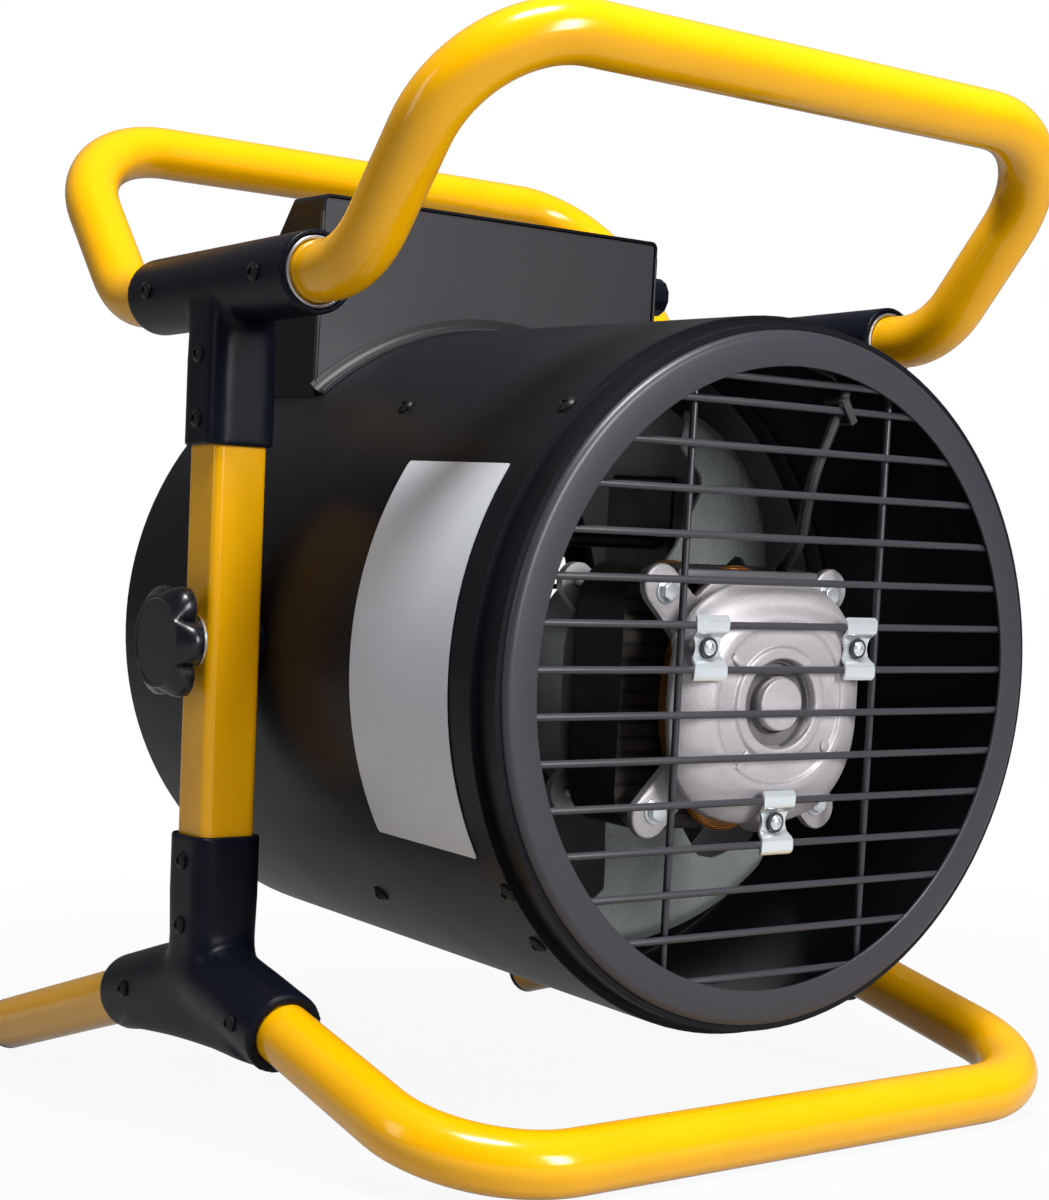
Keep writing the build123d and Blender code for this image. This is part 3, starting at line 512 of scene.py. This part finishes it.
def guard_wires():
    """Round level wires welded to two uprights behind them, their ends pressed behind the ring's flange."""
    level = [placed(guard_wire(y), shift(0, y, WIRE_DEPTH) @ turn(90, "Y")) for y in WIRE_HEIGHTS]
    uprights = [
        placed(guard_wire(x), shift(x, 0, UPRIGHT_DEPTH) @ turn(90, "X"))
        for x in (-UPRIGHT_REACH, UPRIGHT_REACH)
    ]
    return joined(*level, *uprights)


def guard_ring():
    """A pressed ring: a flat face, a rolled outer edge and a skirt that goes into the collar."""
    inside = RING_RADIUS - RING_SHEET
    points = [
        (RING_HOLE, 0.0, 0.5),
        (RING_RADIUS, 0.0, 3.2),
        (RING_RADIUS, RING_SKIRT),
        (inside, RING_SKIRT),
        (inside, RING_SHEET, 1.6),
        (RING_HOLE, RING_SHEET, 0.5),
    ]
    return spun(points, 240)


for end, place in {"intake": IN_DRUM, "outlet": IN_DRUM @ AT_OUTLET}.items():
    piece(end + "_wires", guard_wires(), place, wire_powder, "drum", end + "_guard_wires")
    piece(end + "_ring", guard_ring(), place, ring_powder, "drum", end + "_guard_ring")


# ------------------------------------------------------------------ screws
COLUMN_X = 160.0
BARREL = 150.0  # the handles' sockets, above the pivot
HUB = -140.0  # where the arms of a lower tee meet
ARM_DROOP = {1: 12.5, -1: 16.6}  # to the rear and to the front
BARREL_SKIN = 17.0  # past the column's middle
SOCKET_SKIN = 15.5
SHELL_RADIUS = 145.5

CROWN = 0.86  # share of a screw head's width
RECESS = 0.9
CROSS_REACH = 0.55  # shares of half the crown's width
CROSS_HALF = 0.15


def cross_head(width, height):
    """A low round head with a cross recess, standing on z = 0."""
    shape = grid(10, 10)
    cross = []
    for face in shape.faces:
        side, reach = sorted(abs(part) for part in face.calc_center_median()[:2])
        if reach < CROSS_REACH and side < CROSS_HALF:
            cross.append(face)
    rim = [edge for edge in shape.edges if edge.is_boundary]
    radius = CROWN * width / 2
    for vert in shape.verts:
        x, y = vert.co.x, vert.co.y
        round_x, round_y = x * math.sqrt(1 - y * y / 2), y * math.sqrt(1 - x * x / 2)
        drop = 0.45 * height * (round_x**2 + round_y**2) ** 1.5
        vert.co = (radius * round_x, radius * round_y, height - drop)
    sunk = bmesh.ops.extrude_face_region(shape, geom=cross)["geom"]
    bmesh.ops.delete(shape, geom=cross, context="FACES_KEEP_BOUNDARY")
    floor = [item for item in sunk if isinstance(item, bmesh.types.BMVert)]
    bmesh.ops.translate(shape, verts=floor, vec=(0, 0, -RECESS))
    bmesh.ops.scale(shape, verts=floor, vec=(0.85, 0.85, 1.0))
    for spread, level in ((1 / CROWN, 0.3 * height), (1.0, 0.0)):
        made = bmesh.ops.extrude_edge_only(shape, edges=rim)["geom"]
        verts = [item for item in made if isinstance(item, bmesh.types.BMVert)]
        rim = [item for item in made if isinstance(item, bmesh.types.BMEdge) and item.is_boundary]
        bmesh.ops.scale(shape, verts=verts, vec=(spread, spread, 1.0))
        for vert in verts:
            vert.co.z = level
    return shape


def arm_point(end, distance):
    droop = math.radians(ARM_DROOP[end])
    return end * math.cos(droop) * distance, HUB - math.sin(droop) * distance


def tee_screw_places():
    """On the barrels, the column's sockets and the arms. Each screw has stopped at its own angle."""
    places = [(BARREL_SKIN, y, BARREL) for y in (-47.5, 47.5)]
    places += [(SOCKET_SKIN, 0.0, z) for z in (93.0, 120.0, -92.0, -119.0)]
    places += [(BARREL_SKIN, *arm_point(end, 50.0)) for end in (1, -1)]
    return [
        shift(side * (COLUMN_X + x), y, z) @ turn(90 * side, "Y") @ turn(17 * index, "Z")
        for side in SIDES.values()
        for index, (x, y, z) in enumerate(places)
    ]


def drum_screw_places():
    """Three rings of four round the shell, and one more at the intake."""
    places = [(depth, angle) for depth in (21.0, 132.4, 288.0) for angle in (45, 135, 225, 315)]
    places.append((18.0, -34.0))
    return [
        turn(angle, "Z") @ shift(SHELL_RADIUS - 0.1, 0, depth) @ turn(90, "Y") @ turn(23 * index, "Z")
        for index, (depth, angle) in enumerate(places)
    ]


tee_heads = repeated(cross_head(7.5, 2.2), tee_screw_places())
piece("tee_screw_heads", tee_heads, IN_FRAME, screw_black, "frame", "tee_screws")
drum_heads = repeated(cross_head(8.0, 2.2), drum_screw_places())
piece("drum_screw_heads", drum_heads, IN_DRUM, screw_black, "drum", "drum_screws")


# ------------------------------------------------------------------ moulded tees
# What lies within these two of a tube's middle isn't rolled.
BARREL_BORE = 15.6
COLUMN_SOCKET = 13.4
# Past these the mouths of the sockets are rolled lightly alone.
UPPER_RIMS = {"barrel": 66.0, "socket": 84.5}
LOWER_RIMS = {"arm": 58.0, "socket": -83.5}
CORNER = 131.0  # where a barrel meets the socket under it
MOUTH = 68.6  # of a barrel
VOXEL = 0.00105  # in metres


def beside(side):
    return IN_FRAME @ shift(side * COLUMN_X, 0, 0)


def blended(node, side):
    """A tee's own shape, resampled finely enough for its edges and inner corners to be rolled over."""
    carried = nodes[node].data.copy()
    shape = bmesh.new()
    shape.from_mesh(carried)
    bmesh.ops.remove_doubles(shape, verts=shape.verts, dist=0.00002)
    shape.to_mesh(carried)
    shape.free()
    holder = bpy.data.objects.new("tee_form", carried)
    bpy.context.scene.collection.objects.link(holder)
    resampled = holder.modifiers.new("resampled", "REMESH")
    resampled.mode = "VOXEL"
    resampled.voxel_size = VOXEL
    graph = bpy.context.evaluated_depsgraph_get()
    fine = bpy.data.meshes.new_from_object(holder.evaluated_get(graph))
    bpy.data.objects.remove(holder)
    bpy.data.meshes.remove(carried)
    shape = bmesh.new()
    shape.from_mesh(fine)
    bpy.data.meshes.remove(fine)
    return placed(shape, beside(side).inverted())


def rolled(shape, steps, share):
    """Smooths a shape step by step, the places whose share is small for fewer of the steps."""
    shares = [(vert, share(vert.co)) for vert in shape.verts]
    for step in range(steps):
        chosen = [vert for vert, part in shares if part > step / steps]
        bmesh.ops.smooth_vert(
            shape, verts=chosen, factor=0.5, use_axis_x=True, use_axis_y=True, use_axis_z=True
        )


def faded(distance, full, none):
    """One within the full distance, nothing past the other, graded between."""
    return min(max((none - distance) / (none - full), 0.0), 1.0)


def in_column_socket(place):
    return max(abs(place.x), abs(place.y)) < COLUMN_SOCKET


def upper_tee(node, side):
    """Rolls the skin lightly, the edges more, and the corner under the barrel most."""
    shape = blended(node, side)

    def outside(place):
        in_barrel = math.hypot(place.x, place.z - BARREL) < BARREL_BORE
        return not in_barrel and not (in_column_socket(place) and place.z < BARREL)

    def off_rims(place):
        return outside(place) and place.y < UPPER_RIMS["barrel"] and place.z > UPPER_RIMS["socket"]

    def at_corner(place):
        return outside(place) * faded(abs(place.z - CORNER), 3, 13) * faded(abs(place.y), 20, 30)

    rolled(shape, 3, outside)
    rolled(shape, 6, off_rims)
    rolled(shape, 26, at_corner)
    return shape


def lower_tee(node, side):
    """Rolls the skin lightly, the edges more, and the crotch of the arms most."""
    shape = blended(node, side)

    def outside(place):
        if in_column_socket(place) and place.z > HUB:
            return False
        end = 1 if place.y > 0 else -1
        droop = math.radians(ARM_DROOP[end])
        along = end * place.y * math.cos(droop) - (place.z - HUB) * math.sin(droop)
        off = end * place.y * math.sin(droop) + (place.z - HUB) * math.cos(droop)
        return math.hypot(place.x, off) > BARREL_BORE or along < 10

    def off_rims(place):
        return outside(place) and place.y < LOWER_RIMS["arm"] and place.z < LOWER_RIMS["socket"]

    def at_crotch(place):
        return outside(place) * faded(abs(place.z - HUB), 16, 34) * faded(abs(place.y), 24, 42)

    rolled(shape, 3, outside)
    rolled(shape, 6, off_rims)
    rolled(shape, 50, at_crotch)
    return shape


def mouth_ring():
    """The bare edge of a handle's tube, at the mouth of its socket."""
    return spun([(12.75, 0.0), (13.4, -0.7, 0.3), (14.5, -0.2, 0.4), (14.6, 3.4), (12.75, 3.4)], 72)


for side_name, side in SIDES.items():
    for level, tee in {"upper": upper_tee, "lower": lower_tee}.items():
        node = side_name + "_" + level + "_tee"
        piece(node + "_moulding", tee(node, side), beside(side), tee_moulding, "frame", node, crease=50)
    at_mouth = beside(side) @ shift(0, MOUTH, BARREL) @ turn(90, "X")
    piece(side_name + "_mouth_ring", mouth_ring(), at_mouth, mouth_steel, "frame")


# ------------------------------------------------------------------ motor
MOTOR_DROP = 10.8
ON_MOTOR = IN_DRUM @ shift(0, -MOTOR_DROP, 0)
LUG_REACH = 46.8
LUG_PLACES = [
    shift(LUG_REACH * math.cos(angle), LUG_REACH * math.sin(angle), 0)
    for angle in (math.radians(30), math.radians(150), math.radians(270))
]
BOLT_REACH = 44.0
BOLT_PLACES = [shift(x, y, 0) for x in (-BOLT_REACH, BOLT_REACH) for y in (-BOLT_REACH, BOLT_REACH)]
FLANGE = (26.5, 30.5)
PLATE_EDGE = 53.0  # of the round plate that the flange is drawn from
PLATE_CIRCLE = 50.5  # the circle on it that takes the sizes of the body and its ears
EAR_RADIUS = 8.5
EAR_REACH = 62.2
STRAP_WIDTH = 17.0
STRAP_LENGTH = 25.8
STRAP_SHEET = 1.2
COIL_INNER = 33.5
COIL_OUTER = 54.8
COIL_FLATNESS = 0.66  # from side to side


def squared(shape, inner, outer, power):
    """Draws a round shape out towards a square with round corners, more so past the inner radius."""
    for vert in shape.verts:
        radius = math.hypot(vert.co.x, vert.co.y)
        if radius <= inner:
            continue
        share = min((radius - inner) / (outer - inner), 1.0)
        across, up = abs(vert.co.x) / radius, abs(vert.co.y) / radius
        stretch = (across**power + up**power) ** (-1 / power)
        vert.co.x *= 1 + (stretch - 1) * share
        vert.co.y *= 1 + (stretch - 1) * share
    return shape


def ear_edge(off):
    """How far out an ear's edge is, at an angle off its bolt."""
    if off > 0.7:
        return 0.0
    if math.tan(off) > EAR_RADIUS / EAR_REACH:
        return EAR_RADIUS / math.sin(off)
    return EAR_REACH * math.cos(off) + math.sqrt(EAR_RADIUS**2 - (EAR_REACH * math.sin(off)) ** 2)


def eared(shape):
    """Draws a round plate out to an ear at each through bolt, its sides waisted between them."""
    wide, high, low, power, merge = 36.0, 49.5, 47.0, 2.6, 14
    for vert in shape.verts:
        radius = math.hypot(vert.co.x, vert.co.y)
        if radius < PLATE_CIRCLE - 4:
            continue
        across, up = abs(vert.co.x) / radius, abs(vert.co.y) / radius
        tall = high if vert.co.y > 0 else low
        body = ((across / wide) ** power + (up / tall) ** power) ** (-1 / power)
        lobe = ear_edge(abs(math.atan2(up, across) - math.pi / 4))
        drawn = (body**merge + lobe**merge) ** (1 / merge)
        vert.co.x *= drawn / PLATE_CIRCLE
        vert.co.y *= drawn / PLATE_CIRCLE
    return shape


def bell_cap():
    """A boss in a deep round well, ring and frame steps, and a domed shoulder."""
    points = [
        (0.0, 4.45),
        (10.6, 4.65, 0.8),
        (11.6, 10.2, 0.8),
        (17.0, 10.2, 0.8),
        (18.4, 4.9, 0.9),
        (22.6, 5.1, 0.5),
        (23.8, 6.2, 0.5),
        (31.5, 6.2, 0.5),
        (32.8, 5.2, 0.5),
        (35.0, 5.2, 0.8),
        (38.0, 6.3, 2.0),
        (43.0, 8.4, 2.4),
        (47.6, 11.6, 2.4),
        (50.3, 15.2, 2.0),
        (48.6, 17.4, 1.4),
        (35.0, FLANGE[0]),
        (0.0, FLANGE[0]),
    ]
    cap = squared(spun(points, 144, closed=False), 25.0, 44.0, 2.6)
    return placed(cap, shift(-1.4, 0.6, 0) @ Matrix.Diagonal((1.03, 1.0, 1.0, 1.0)))


def rear_bell():
    """The cast cap on a foot with ears, with its ribs, lugs and ejector marks."""
    start, end = FLANGE
    points = [(0.0, start), (PLATE_EDGE, start, 0.9), (PLATE_EDGE, end, 0.9), (0.0, end)]
    foot = spun(points, 288, closed=False)
    rib_places = [turn(angle, "Z") @ shift(28.0, 0, 5.9) for angle in (-52, 38)]
    ribs = repeated(block(9.0, 3.2, 2.2, 0.7), rib_places)
    lugs = repeated(rod(5.5, 4.55, 20.0, 28, 0.6), LUG_PLACES)
    marks = repeated(rod(2.4, 5.4, 8.0, 20, 0.3), [shift(27.5, 17.0, 0), shift(-27.5, -17.0, 0)])
    return joined(bell_cap(), eared(foot), ribs, lugs, marks)


def bell_well_shade_ring():
    """A dark ring on the floor of the well round the boss: painted shade, for the shadow in the well."""
    points = [(11.2, 9.9), (17.3, 9.9), (17.9, 7.2), (17.5, 7.2), (17.0, 9.4), (11.6, 9.4), (11.2, 7.0)]
    return spun(points, 96)


def hexagon_bolt():
    """A washer and hexagon head at the rear, the shank, and a nut in front."""
    washer_radius, hexagon_radius, shank_radius = 5.2, 4.05, 2.0
    seat, washer_face, tip = FLANGE[0], 25.8, 93.0
    washer = rod(washer_radius, washer_face, seat, 28, 0.2)
    head = rod(hexagon_radius, 22.9, washer_face, 6, 0.35)
    shank = rod(shank_radius, seat, tip, 14, 0.4)
    nut = rod(hexagon_radius, 88.0, 91.0, 6, 0.35)
    return joined(washer, head, shank, nut)


def clip():
    """A waisted strap whose middle lies on a lug and whose wide ends lie over two wires."""
    on_lug, step = 4.0, 3.1
    step_starts, step_length, curl_starts = 3.4, 3.6, 10.9
    shape = grid(14, 44)
    for vert in shape.verts:
        y = vert.co.y * STRAP_LENGTH / 2
        reach = abs(y)
        rise = 0.5 - 0.5 * math.cos(math.pi * min(max((reach - step_starts) / step_length, 0.0), 1.0))
        curl = max(reach - curl_starts, 0.0)
        half = STRAP_WIDTH / 2 - 2.3 * math.exp(-((y / 4.8) ** 2)) - 0.12 * curl**2
        vert.co = (vert.co.x * half, y, on_lug - step * rise + 0.42 * curl**1.5)
    return thickened(shape, STRAP_SHEET)


def windings(start, end):
    """Bundles of wire round the stator's teeth, tied into a ring that is narrow from side to side."""
    middle, half = (start + end) / 2, (end - start) / 2 - 0.6
    low, high = middle - half, middle + half
    points = [
        (COIL_INNER, low, 4.0),
        (COIL_OUTER, low, 5.0),
        (COIL_OUTER, high, 5.0),
        (COIL_INNER, high, 4.0),
    ]
    shape = spun(points, 128)
    for vert in shape.verts:
        lobe = abs(math.cos(2 * math.atan2(vert.co.y, vert.co.x)))
        lift = 0.975 + 0.03 * lobe
        vert.co.x *= lift * COIL_FLATNESS
        vert.co.y *= lift
        vert.co.z = middle + (vert.co.z - middle) * (0.8 + 0.2 * lobe)
    return shape


piece("bell_casting", rear_bell(), ON_MOTOR, die_cast, "drum", "motor_rear_bell")
piece("through_bolts", repeated(hexagon_bolt(), BOLT_PLACES), ON_MOTOR, zinc, "drum", "motor_bolts")
piece("hook_clips", repeated(clip(), LUG_PLACES), ON_MOTOR, zinc, "drum", "motor_clips")
clip_screw = placed(cross_head(6.0, 2.0), shift(0, 0, 2.9) @ turn(180, "X"))
piece("clip_screw_heads", repeated(clip_screw, LUG_PLACES), ON_MOTOR, zinc, "drum", "clip_screws")
# painted shade: a black disc under each clip screw stands for the dark hole round its head
piece("clip_hole_shade_discs", repeated(rod(4.1, 2.55, 3.4, 28), LUG_PLACES), ON_MOTOR, rubber, "drum")
# The dark ring in the well is painted shade.
piece("bell_well_shade_ring", bell_well_shade_ring(), ON_MOTOR, well_shade_paint, "drum")
# The lip on top of the bell has a darker casting colour: painted shade on the flange's top.
bell_lip = placed(block(76.0, 5.0, 4.4, 1.0), shift(0, 50.8, 28.5))
piece("bell_lip", bell_lip, ON_MOTOR, shade_cast, "drum")
coils =joined(windings(30.5, 40.0), windings(70.0, 84.0))
piece("coil_bundles", coils, ON_MOTOR, copper, "drum", "motor_windings")


# ------------------------------------------------------------------ fan
BLADE_ROOT = 20.0
BLADE_LENGTH = 104.0
BLADE_RIM = 118.0  # past it the tip is folded back
BLADE_DEPTH = 122.0  # along the air flow, with the twist and the camber measured from it
BLADE_TWIST = 18.0
BLADE_CAMBER = 5.0
BLADE_HALF = 58.0
BLADE_SHEET = 1.4
BLADE_ANGLES = (40, 160, 280)
# Half the angle that a blade spreads over, at each radius: its stem, and then its wide tip.
BLADE_STEM = [(20, 31), (40, 16), (68, 13), (96, 13.5)]
BLADE_TIP = [(102, 17), (106, 25), (110, 27.5), (121, 27.5), (124, 26)]


def between(stations, at):
    """Reads a value at a place along (place, value) stations."""
    for (low, first), (high, last) in zip(stations, stations[1:]):
        if at <= high:
            return first + (last - first) * (at - low) / (high - low)
    return stations[-1][1]


def fan_blade():
    """A twisted sheet that spreads from a narrow stem into a wide tip, its rim folded back."""
    shape = grid(32, 60)
    for vert in shape.verts:
        radius = BLADE_ROOT + BLADE_LENGTH / 2 * (vert.co.y + 1)
        angle = math.radians(between(BLADE_STEM + BLADE_TIP, radius)) * vert.co.x
        x, y = radius * math.sin(angle), radius * math.cos(angle)
        aside = x / BLADE_HALF
        fold = 0.9 * max(radius - BLADE_RIM, 0.0)
        vert.co = (x, y, BLADE_DEPTH - BLADE_TWIST * aside - BLADE_CAMBER * (1 - aside**2) + fold)
    return thickened(shape, BLADE_SHEET)


def fan_wheel():
    """Three blades on a disc with a hub."""
    blades = repeated(fan_blade(), [turn(angle, "Z") for angle in BLADE_ANGLES])
    hub = rod(12.0, 115.0, 140.0, 48, 0.8)
    disc = rod(38.0, 116.6, 118.2, 72, 0.3)
    return joined(blades, hub, disc)


piece("fan_and_blades", fan_wheel(), ON_MOTOR, fan_metal, "fan", "fan_wheel")


# ------------------------------------------------------------------ lock knobs
KNOB_START = 174.0
KNOB_RADIUS = 25.0
KNOB_LOBE_REACH = 16.0
KNOB_LOBE_RADIUS = math.sqrt(82.0)
KNOB_TOP = 17.4
# The height of each row round the knob, and its share of the knob's width.
KNOB_ROWS = [(5.5, 0.86), (7.2, 0.985), (9.5, 1.0), (12.0, 0.985), (14.4, 0.91), (16.4, 0.815), (17.3, 0.77)]


def star_radius(angle, depth):
    """Out to one of six lobes, from 0 for a plain round to 1 for the full depth between the lobes."""
    off = math.remainder(angle - math.pi / 6, math.pi / 3)
    to_flank = math.sqrt(KNOB_LOBE_RADIUS**2 - (KNOB_LOBE_REACH * math.sin(off)) ** 2)
    lobe = KNOB_LOBE_REACH * math.cos(off) + to_flank
    return KNOB_RADIUS + depth * (lobe - KNOB_RADIUS)


def star_knob():
    """Six lobes that spread from a round satin face, on a waisted boss, standing on z = 0."""
    shape = bmesh.new()
    rows = []
    for z, share in KNOB_ROWS:
        made = bmesh.ops.create_circle(shape, segments=144, radius=1.0)["verts"]
        depth = min(1.0, (KNOB_TOP - z) / 5.5)
        for vert in made:
            angle = math.atan2(vert.co.y, vert.co.x)
            radius = share * star_radius(angle, depth)
            vert.co = (radius * math.cos(angle), radius * math.sin(angle), z)
        rows.append([edge for edge in shape.edges if edge.verts[0] in made and edge.verts[1] in made])
    for low, high in zip(rows, rows[1:]):
        bmesh.ops.bridge_loops(shape, edges=low + high)
    bmesh.ops.contextual_create(shape, geom=rows[0])
    top = bmesh.ops.contextual_create(shape, geom=rows[-1])["faces"]
    bmesh.ops.inset_region(shape, faces=top, thickness=1.2, depth=0.0)
    bmesh.ops.inset_region(shape, faces=top, thickness=0.5, depth=-0.4)
    boss = spun([(0.0, 0.0), (12.0, 0.0, 0.6), (11.0, 5.6), (0.0, 5.6)], 48, closed=False)
    return joined(shape, boss)


for side_name, side in SIDES.items():
    at_stud = IN_FRAME @ turn(90 * side, "Y") @ shift(0, 0, KNOB_START)
    body, node = side_name + "_knob", side_name + "_lock_knob"
    piece(side_name + "_star_knob", star_knob(), at_stud, knob_moulding, body, node)


# ------------------------------------------------------------------ control box
BOX_REAR = 217.6
BOX_HALF = 97.6
FOOT_SEAT = 145.65
FOOT_HALF_ANGLE = 41.2
FOOT_BEND = 5.2
PANEL_PLACE = (-62.75, 385.78)
PANEL_FACING = (-0.719942, 0.694034)
BOX_KNOB_REACH = 48.0
DIAL_STEPS = 10
DIAL_STEP = 27  # degrees
DIAL_START = 20.0
STROKE_WIDTH = 0.8
STROKE_HEIGHT = 0.12


def plate_foot():
    """The rear plate's foot, bent to lie along the drum, from one side of the box to the other."""
    heel = FOOT_SEAT + 0.75
    points = [(FOOT_SEAT, 211.4), (heel, 211.4)]
    for angle in range(10, 91, 16):
        along, out = math.cos(math.radians(angle)), math.sin(math.radians(angle))
        points.append((heel + FOOT_BEND * (1 - along), 212.2 + FOOT_BEND * out))
    points += [(heel + FOOT_BEND, 218.0), (FOOT_SEAT, 218.0)]
    shape = outline(points)
    bmesh.ops.contextual_create(shape, geom=list(shape.edges))
    shape.transform(turn(90 - FOOT_HALF_ANGLE, "Z"))
    geometry = shape.verts[:] + shape.edges[:] + shape.faces[:]
    span = math.radians(2 * FOOT_HALF_ANGLE)
    bmesh.ops.spin(shape, geom=geometry, axis=(0, 0, 1), cent=(0, 0, 0), angle=span, steps=90)
    return shape


# A dark strip down each side of the box, where the cover meets the rear plate.
def side_seam_strip(side):
    return placed(block(1.3, 78.0, 2.3, 0.35), shift(side * (BOX_HALF - 0.45), 153.0, BOX_REAR + 0.75))


def on_panel(side):
    """The face of the sloped panel at one of its knobs, in millimetres, with y up the slope."""
    away, up = PANEL_FACING
    turned = Matrix(((1, 0, 0, 0), (0, up, away, 0), (0, -away, up, 0), (0, 0, 0, 1)))
    return shift(side * BOX_KNOB_REACH, *PANEL_PLACE) @ turned


def dial_marks():
    """Short strokes round each knob, from one end of its turn to the other."""
    places = []
    for side in SIDES.values():
        for step in range(DIAL_STEPS + 1):
            length = 3.6 if step % 5 == 0 else 2.2
            spoke = on_panel(side) @ turn(90 - DIAL_STEP * step, "Z")
            middle = shift(DIAL_START + length / 2, 0, STROKE_HEIGHT / 2)
            places.append(spoke @ middle @ Matrix.Diagonal((length, STROKE_WIDTH, STROKE_HEIGHT, 1)))
    return repeated(block(1.0, 1.0, 1.0), places)


def pointer(side):
    return placed(block(1.2, 6.0, 0.3), on_panel(side) @ shift(0, 12.4, 15.2))


piece("box_plate_foot", plate_foot(), IN_DRUM, foot_powder, "drum")
for side_name, side in SIDES.items():
    piece(side_name + "_box_seam_strip", side_seam_strip(side), IN_DRUM, rubber, "drum")
piece("dial_marks", dial_marks(), MM, scale_white, "drum")
piece("selector_pointer", pointer(SIDES["right"]), MM, scale_white, "selector")
piece("thermostat_pointer", pointer(SIDES["left"]), MM, scale_white, "thermostat_dial")


# ------------------------------------------------------------------ bare plate on the drum
PLATE_ANGLES = (-28.6, 33.0)
PLATE_DEPTHS = (28.0, 97.0)
PLATE_RADIUS = SHELL_RADIUS + 0.35
PLATE_THICKNESS = 0.3


def partway(ends, share):
    """From the first end at -1 to the other at 1."""
    return sum(ends) / 2 + share * (ends[1] - ends[0]) / 2


def drum_plate():
    """A thin bare plate that follows the drum's side."""
    shape = grid(60, 12)
    corners = [vert for vert in shape.verts if abs(vert.co.x) + abs(vert.co.y) > 2 - 1e-6]
    bmesh.ops.bevel(
        shape, geom=corners, offset=0.03, segments=4, profile=0.5, affect="VERTICES", material=-1
    )
    for vert in shape.verts:
        angle = math.radians(partway(PLATE_ANGLES, vert.co.x))
        depth = partway(PLATE_DEPTHS, vert.co.y)
        vert.co = (PLATE_RADIUS * math.cos(angle), PLATE_RADIUS * math.sin(angle), depth)
    return thickened(shape, PLATE_THICKNESS)


piece("bare_side_plate", drum_plate(), IN_DRUM, plate_pale, "drum")


# ------------------------------------------------------------------ floor, light and camera
WHITE = (1.0, 1.0, 1.0)
FLOOR_HALF = 14.0
FLOOR_GREY = 0.38
SHADOW_EDGE = (0.25, 1.0)  # how far out the floor starts to go plain white, and where it is
PLAIN_SHARE = 0.93  # of plain white in the floor near the heater
MIRRORED_SHARE = 0.35  # of plain white in the floor's reflection on the heater
TOWARDS_ROOM = (0.60, 0.79, 0.05)
DIM_SKY = 0.20
ROOM = 0.05
AIM = (0, 0, 0.2)


def floor():
    """Pale, with the heater's shadow near it, and plain white further off."""
    mesh = bpy.data.meshes.new("floor")
    shape = bmesh.new()
    bmesh.ops.create_grid(shape, x_segments=1, y_segments=1, size=FLOOR_HALF)
    shape.to_mesh(mesh)
    shape.free()
    plain = bpy.data.objects.new("floor", mesh)
    bpy.context.scene.collection.objects.link(plain)
    pale = Finish("pale_floor", None, roughness=0.9, base_color=(FLOOR_GREY, FLOOR_GREY, FLOOR_GREY))
    seen = pale.node("ShaderNodeLightPath", {}, {}, "Is Camera Ray")
    mirrored = pale.node("ShaderNodeLightPath", {}, {}, "Is Glossy Ray")
    away = pale.node("ShaderNodeVectorMath", {"operation": "LENGTH"}, {0: pale.place}, "Value")
    glow = pale.node("ShaderNodeEmission", {}, {"Color": WHITE, "Strength": 1.0})
    lit = Value(pale, pale.shader.outputs[0])
    plain_share = PLAIN_SHARE + away.between(*SHADOW_EDGE) * (1 - PLAIN_SHARE)
    share = seen * plain_share + mirrored * MIRRORED_SHARE
    mixed = pale.node("ShaderNodeMixShader", {}, {0: share, 1: lit, 2: glow})
    pale.feed(pale.tree.nodes["Material Output"].inputs["Surface"], mixed)
    mesh.materials.append(pale.material)


def world():
    """White all round to the camera, and otherwise a dim sky, darker on the side that the intake faces."""
    sky = bpy.data.worlds.new("studio")
    bpy.context.scene.world = sky
    sky.use_nodes = True
    studio = Nodes(sky.node_tree)
    seen = studio.node("ShaderNodeLightPath", {}, {}, "Is Camera Ray")
    direction = studio.node("ShaderNodeTexCoord", {}, {}, "Generated")
    facing = studio.node(
        "ShaderNodeVectorMath", {"operation": "DOT_PRODUCT"}, {0: direction, 1: TOWARDS_ROOM}, "Value"
    )
    dimmed = DIM_SKY - facing.between(-0.4, 0.6) * (DIM_SKY - ROOM)
    background = sky.node_tree.nodes["Background"]
    studio.feed(background.inputs["Color"], WHITE)
    studio.feed(background.inputs["Strength"], dimmed + (1 - dimmed) * seen)


def lamp(name, place, width, height, power):
    light = bpy.data.lights.new(name, "AREA")
    light.shape = "RECTANGLE"
    light.size = width
    light.size_y = height
    light.energy = power
    holder = bpy.data.objects.new(name, light)
    bpy.context.scene.collection.objects.link(holder)
    holder.location = place
    holder.rotation_euler = (Vector(AIM) - Vector(place)).to_track_quat("-Z", "Y").to_euler()


def view():
    """The photograph's viewpoint, solved from the heater's outlines."""
    camera = bpy.data.objects.new("camera", bpy.data.cameras.new("camera"))
    bpy.context.scene.collection.objects.link(camera)
    camera.location = (0.5995, 0.8271, 0.2015)
    camera.rotation_euler = [math.radians(angle) for angle in (91.4179, -0.3872, 143.7652)]
    camera.data.sensor_fit = "HORIZONTAL"
    camera.data.sensor_width = 36.0
    camera.data.lens = 74.577
    camera.data.shift_y = -0.0058
    camera.data.clip_start = 0.01
    bpy.context.scene.camera = camera


floor()
world()
lamp("overhead_softbox", (0.22, 0.6, 1.5), 0.45, 0.25, 30)
lamp("left_softbox", (1.9, -0.2, 0.8), 0.35, 1.1, 4)
lamp("rear_softbox", (-0.3, 1.9, 0.75), 0.4, 0.8, 32)
view()
bpy.context.scene.view_settings.view_transform = "Standard"
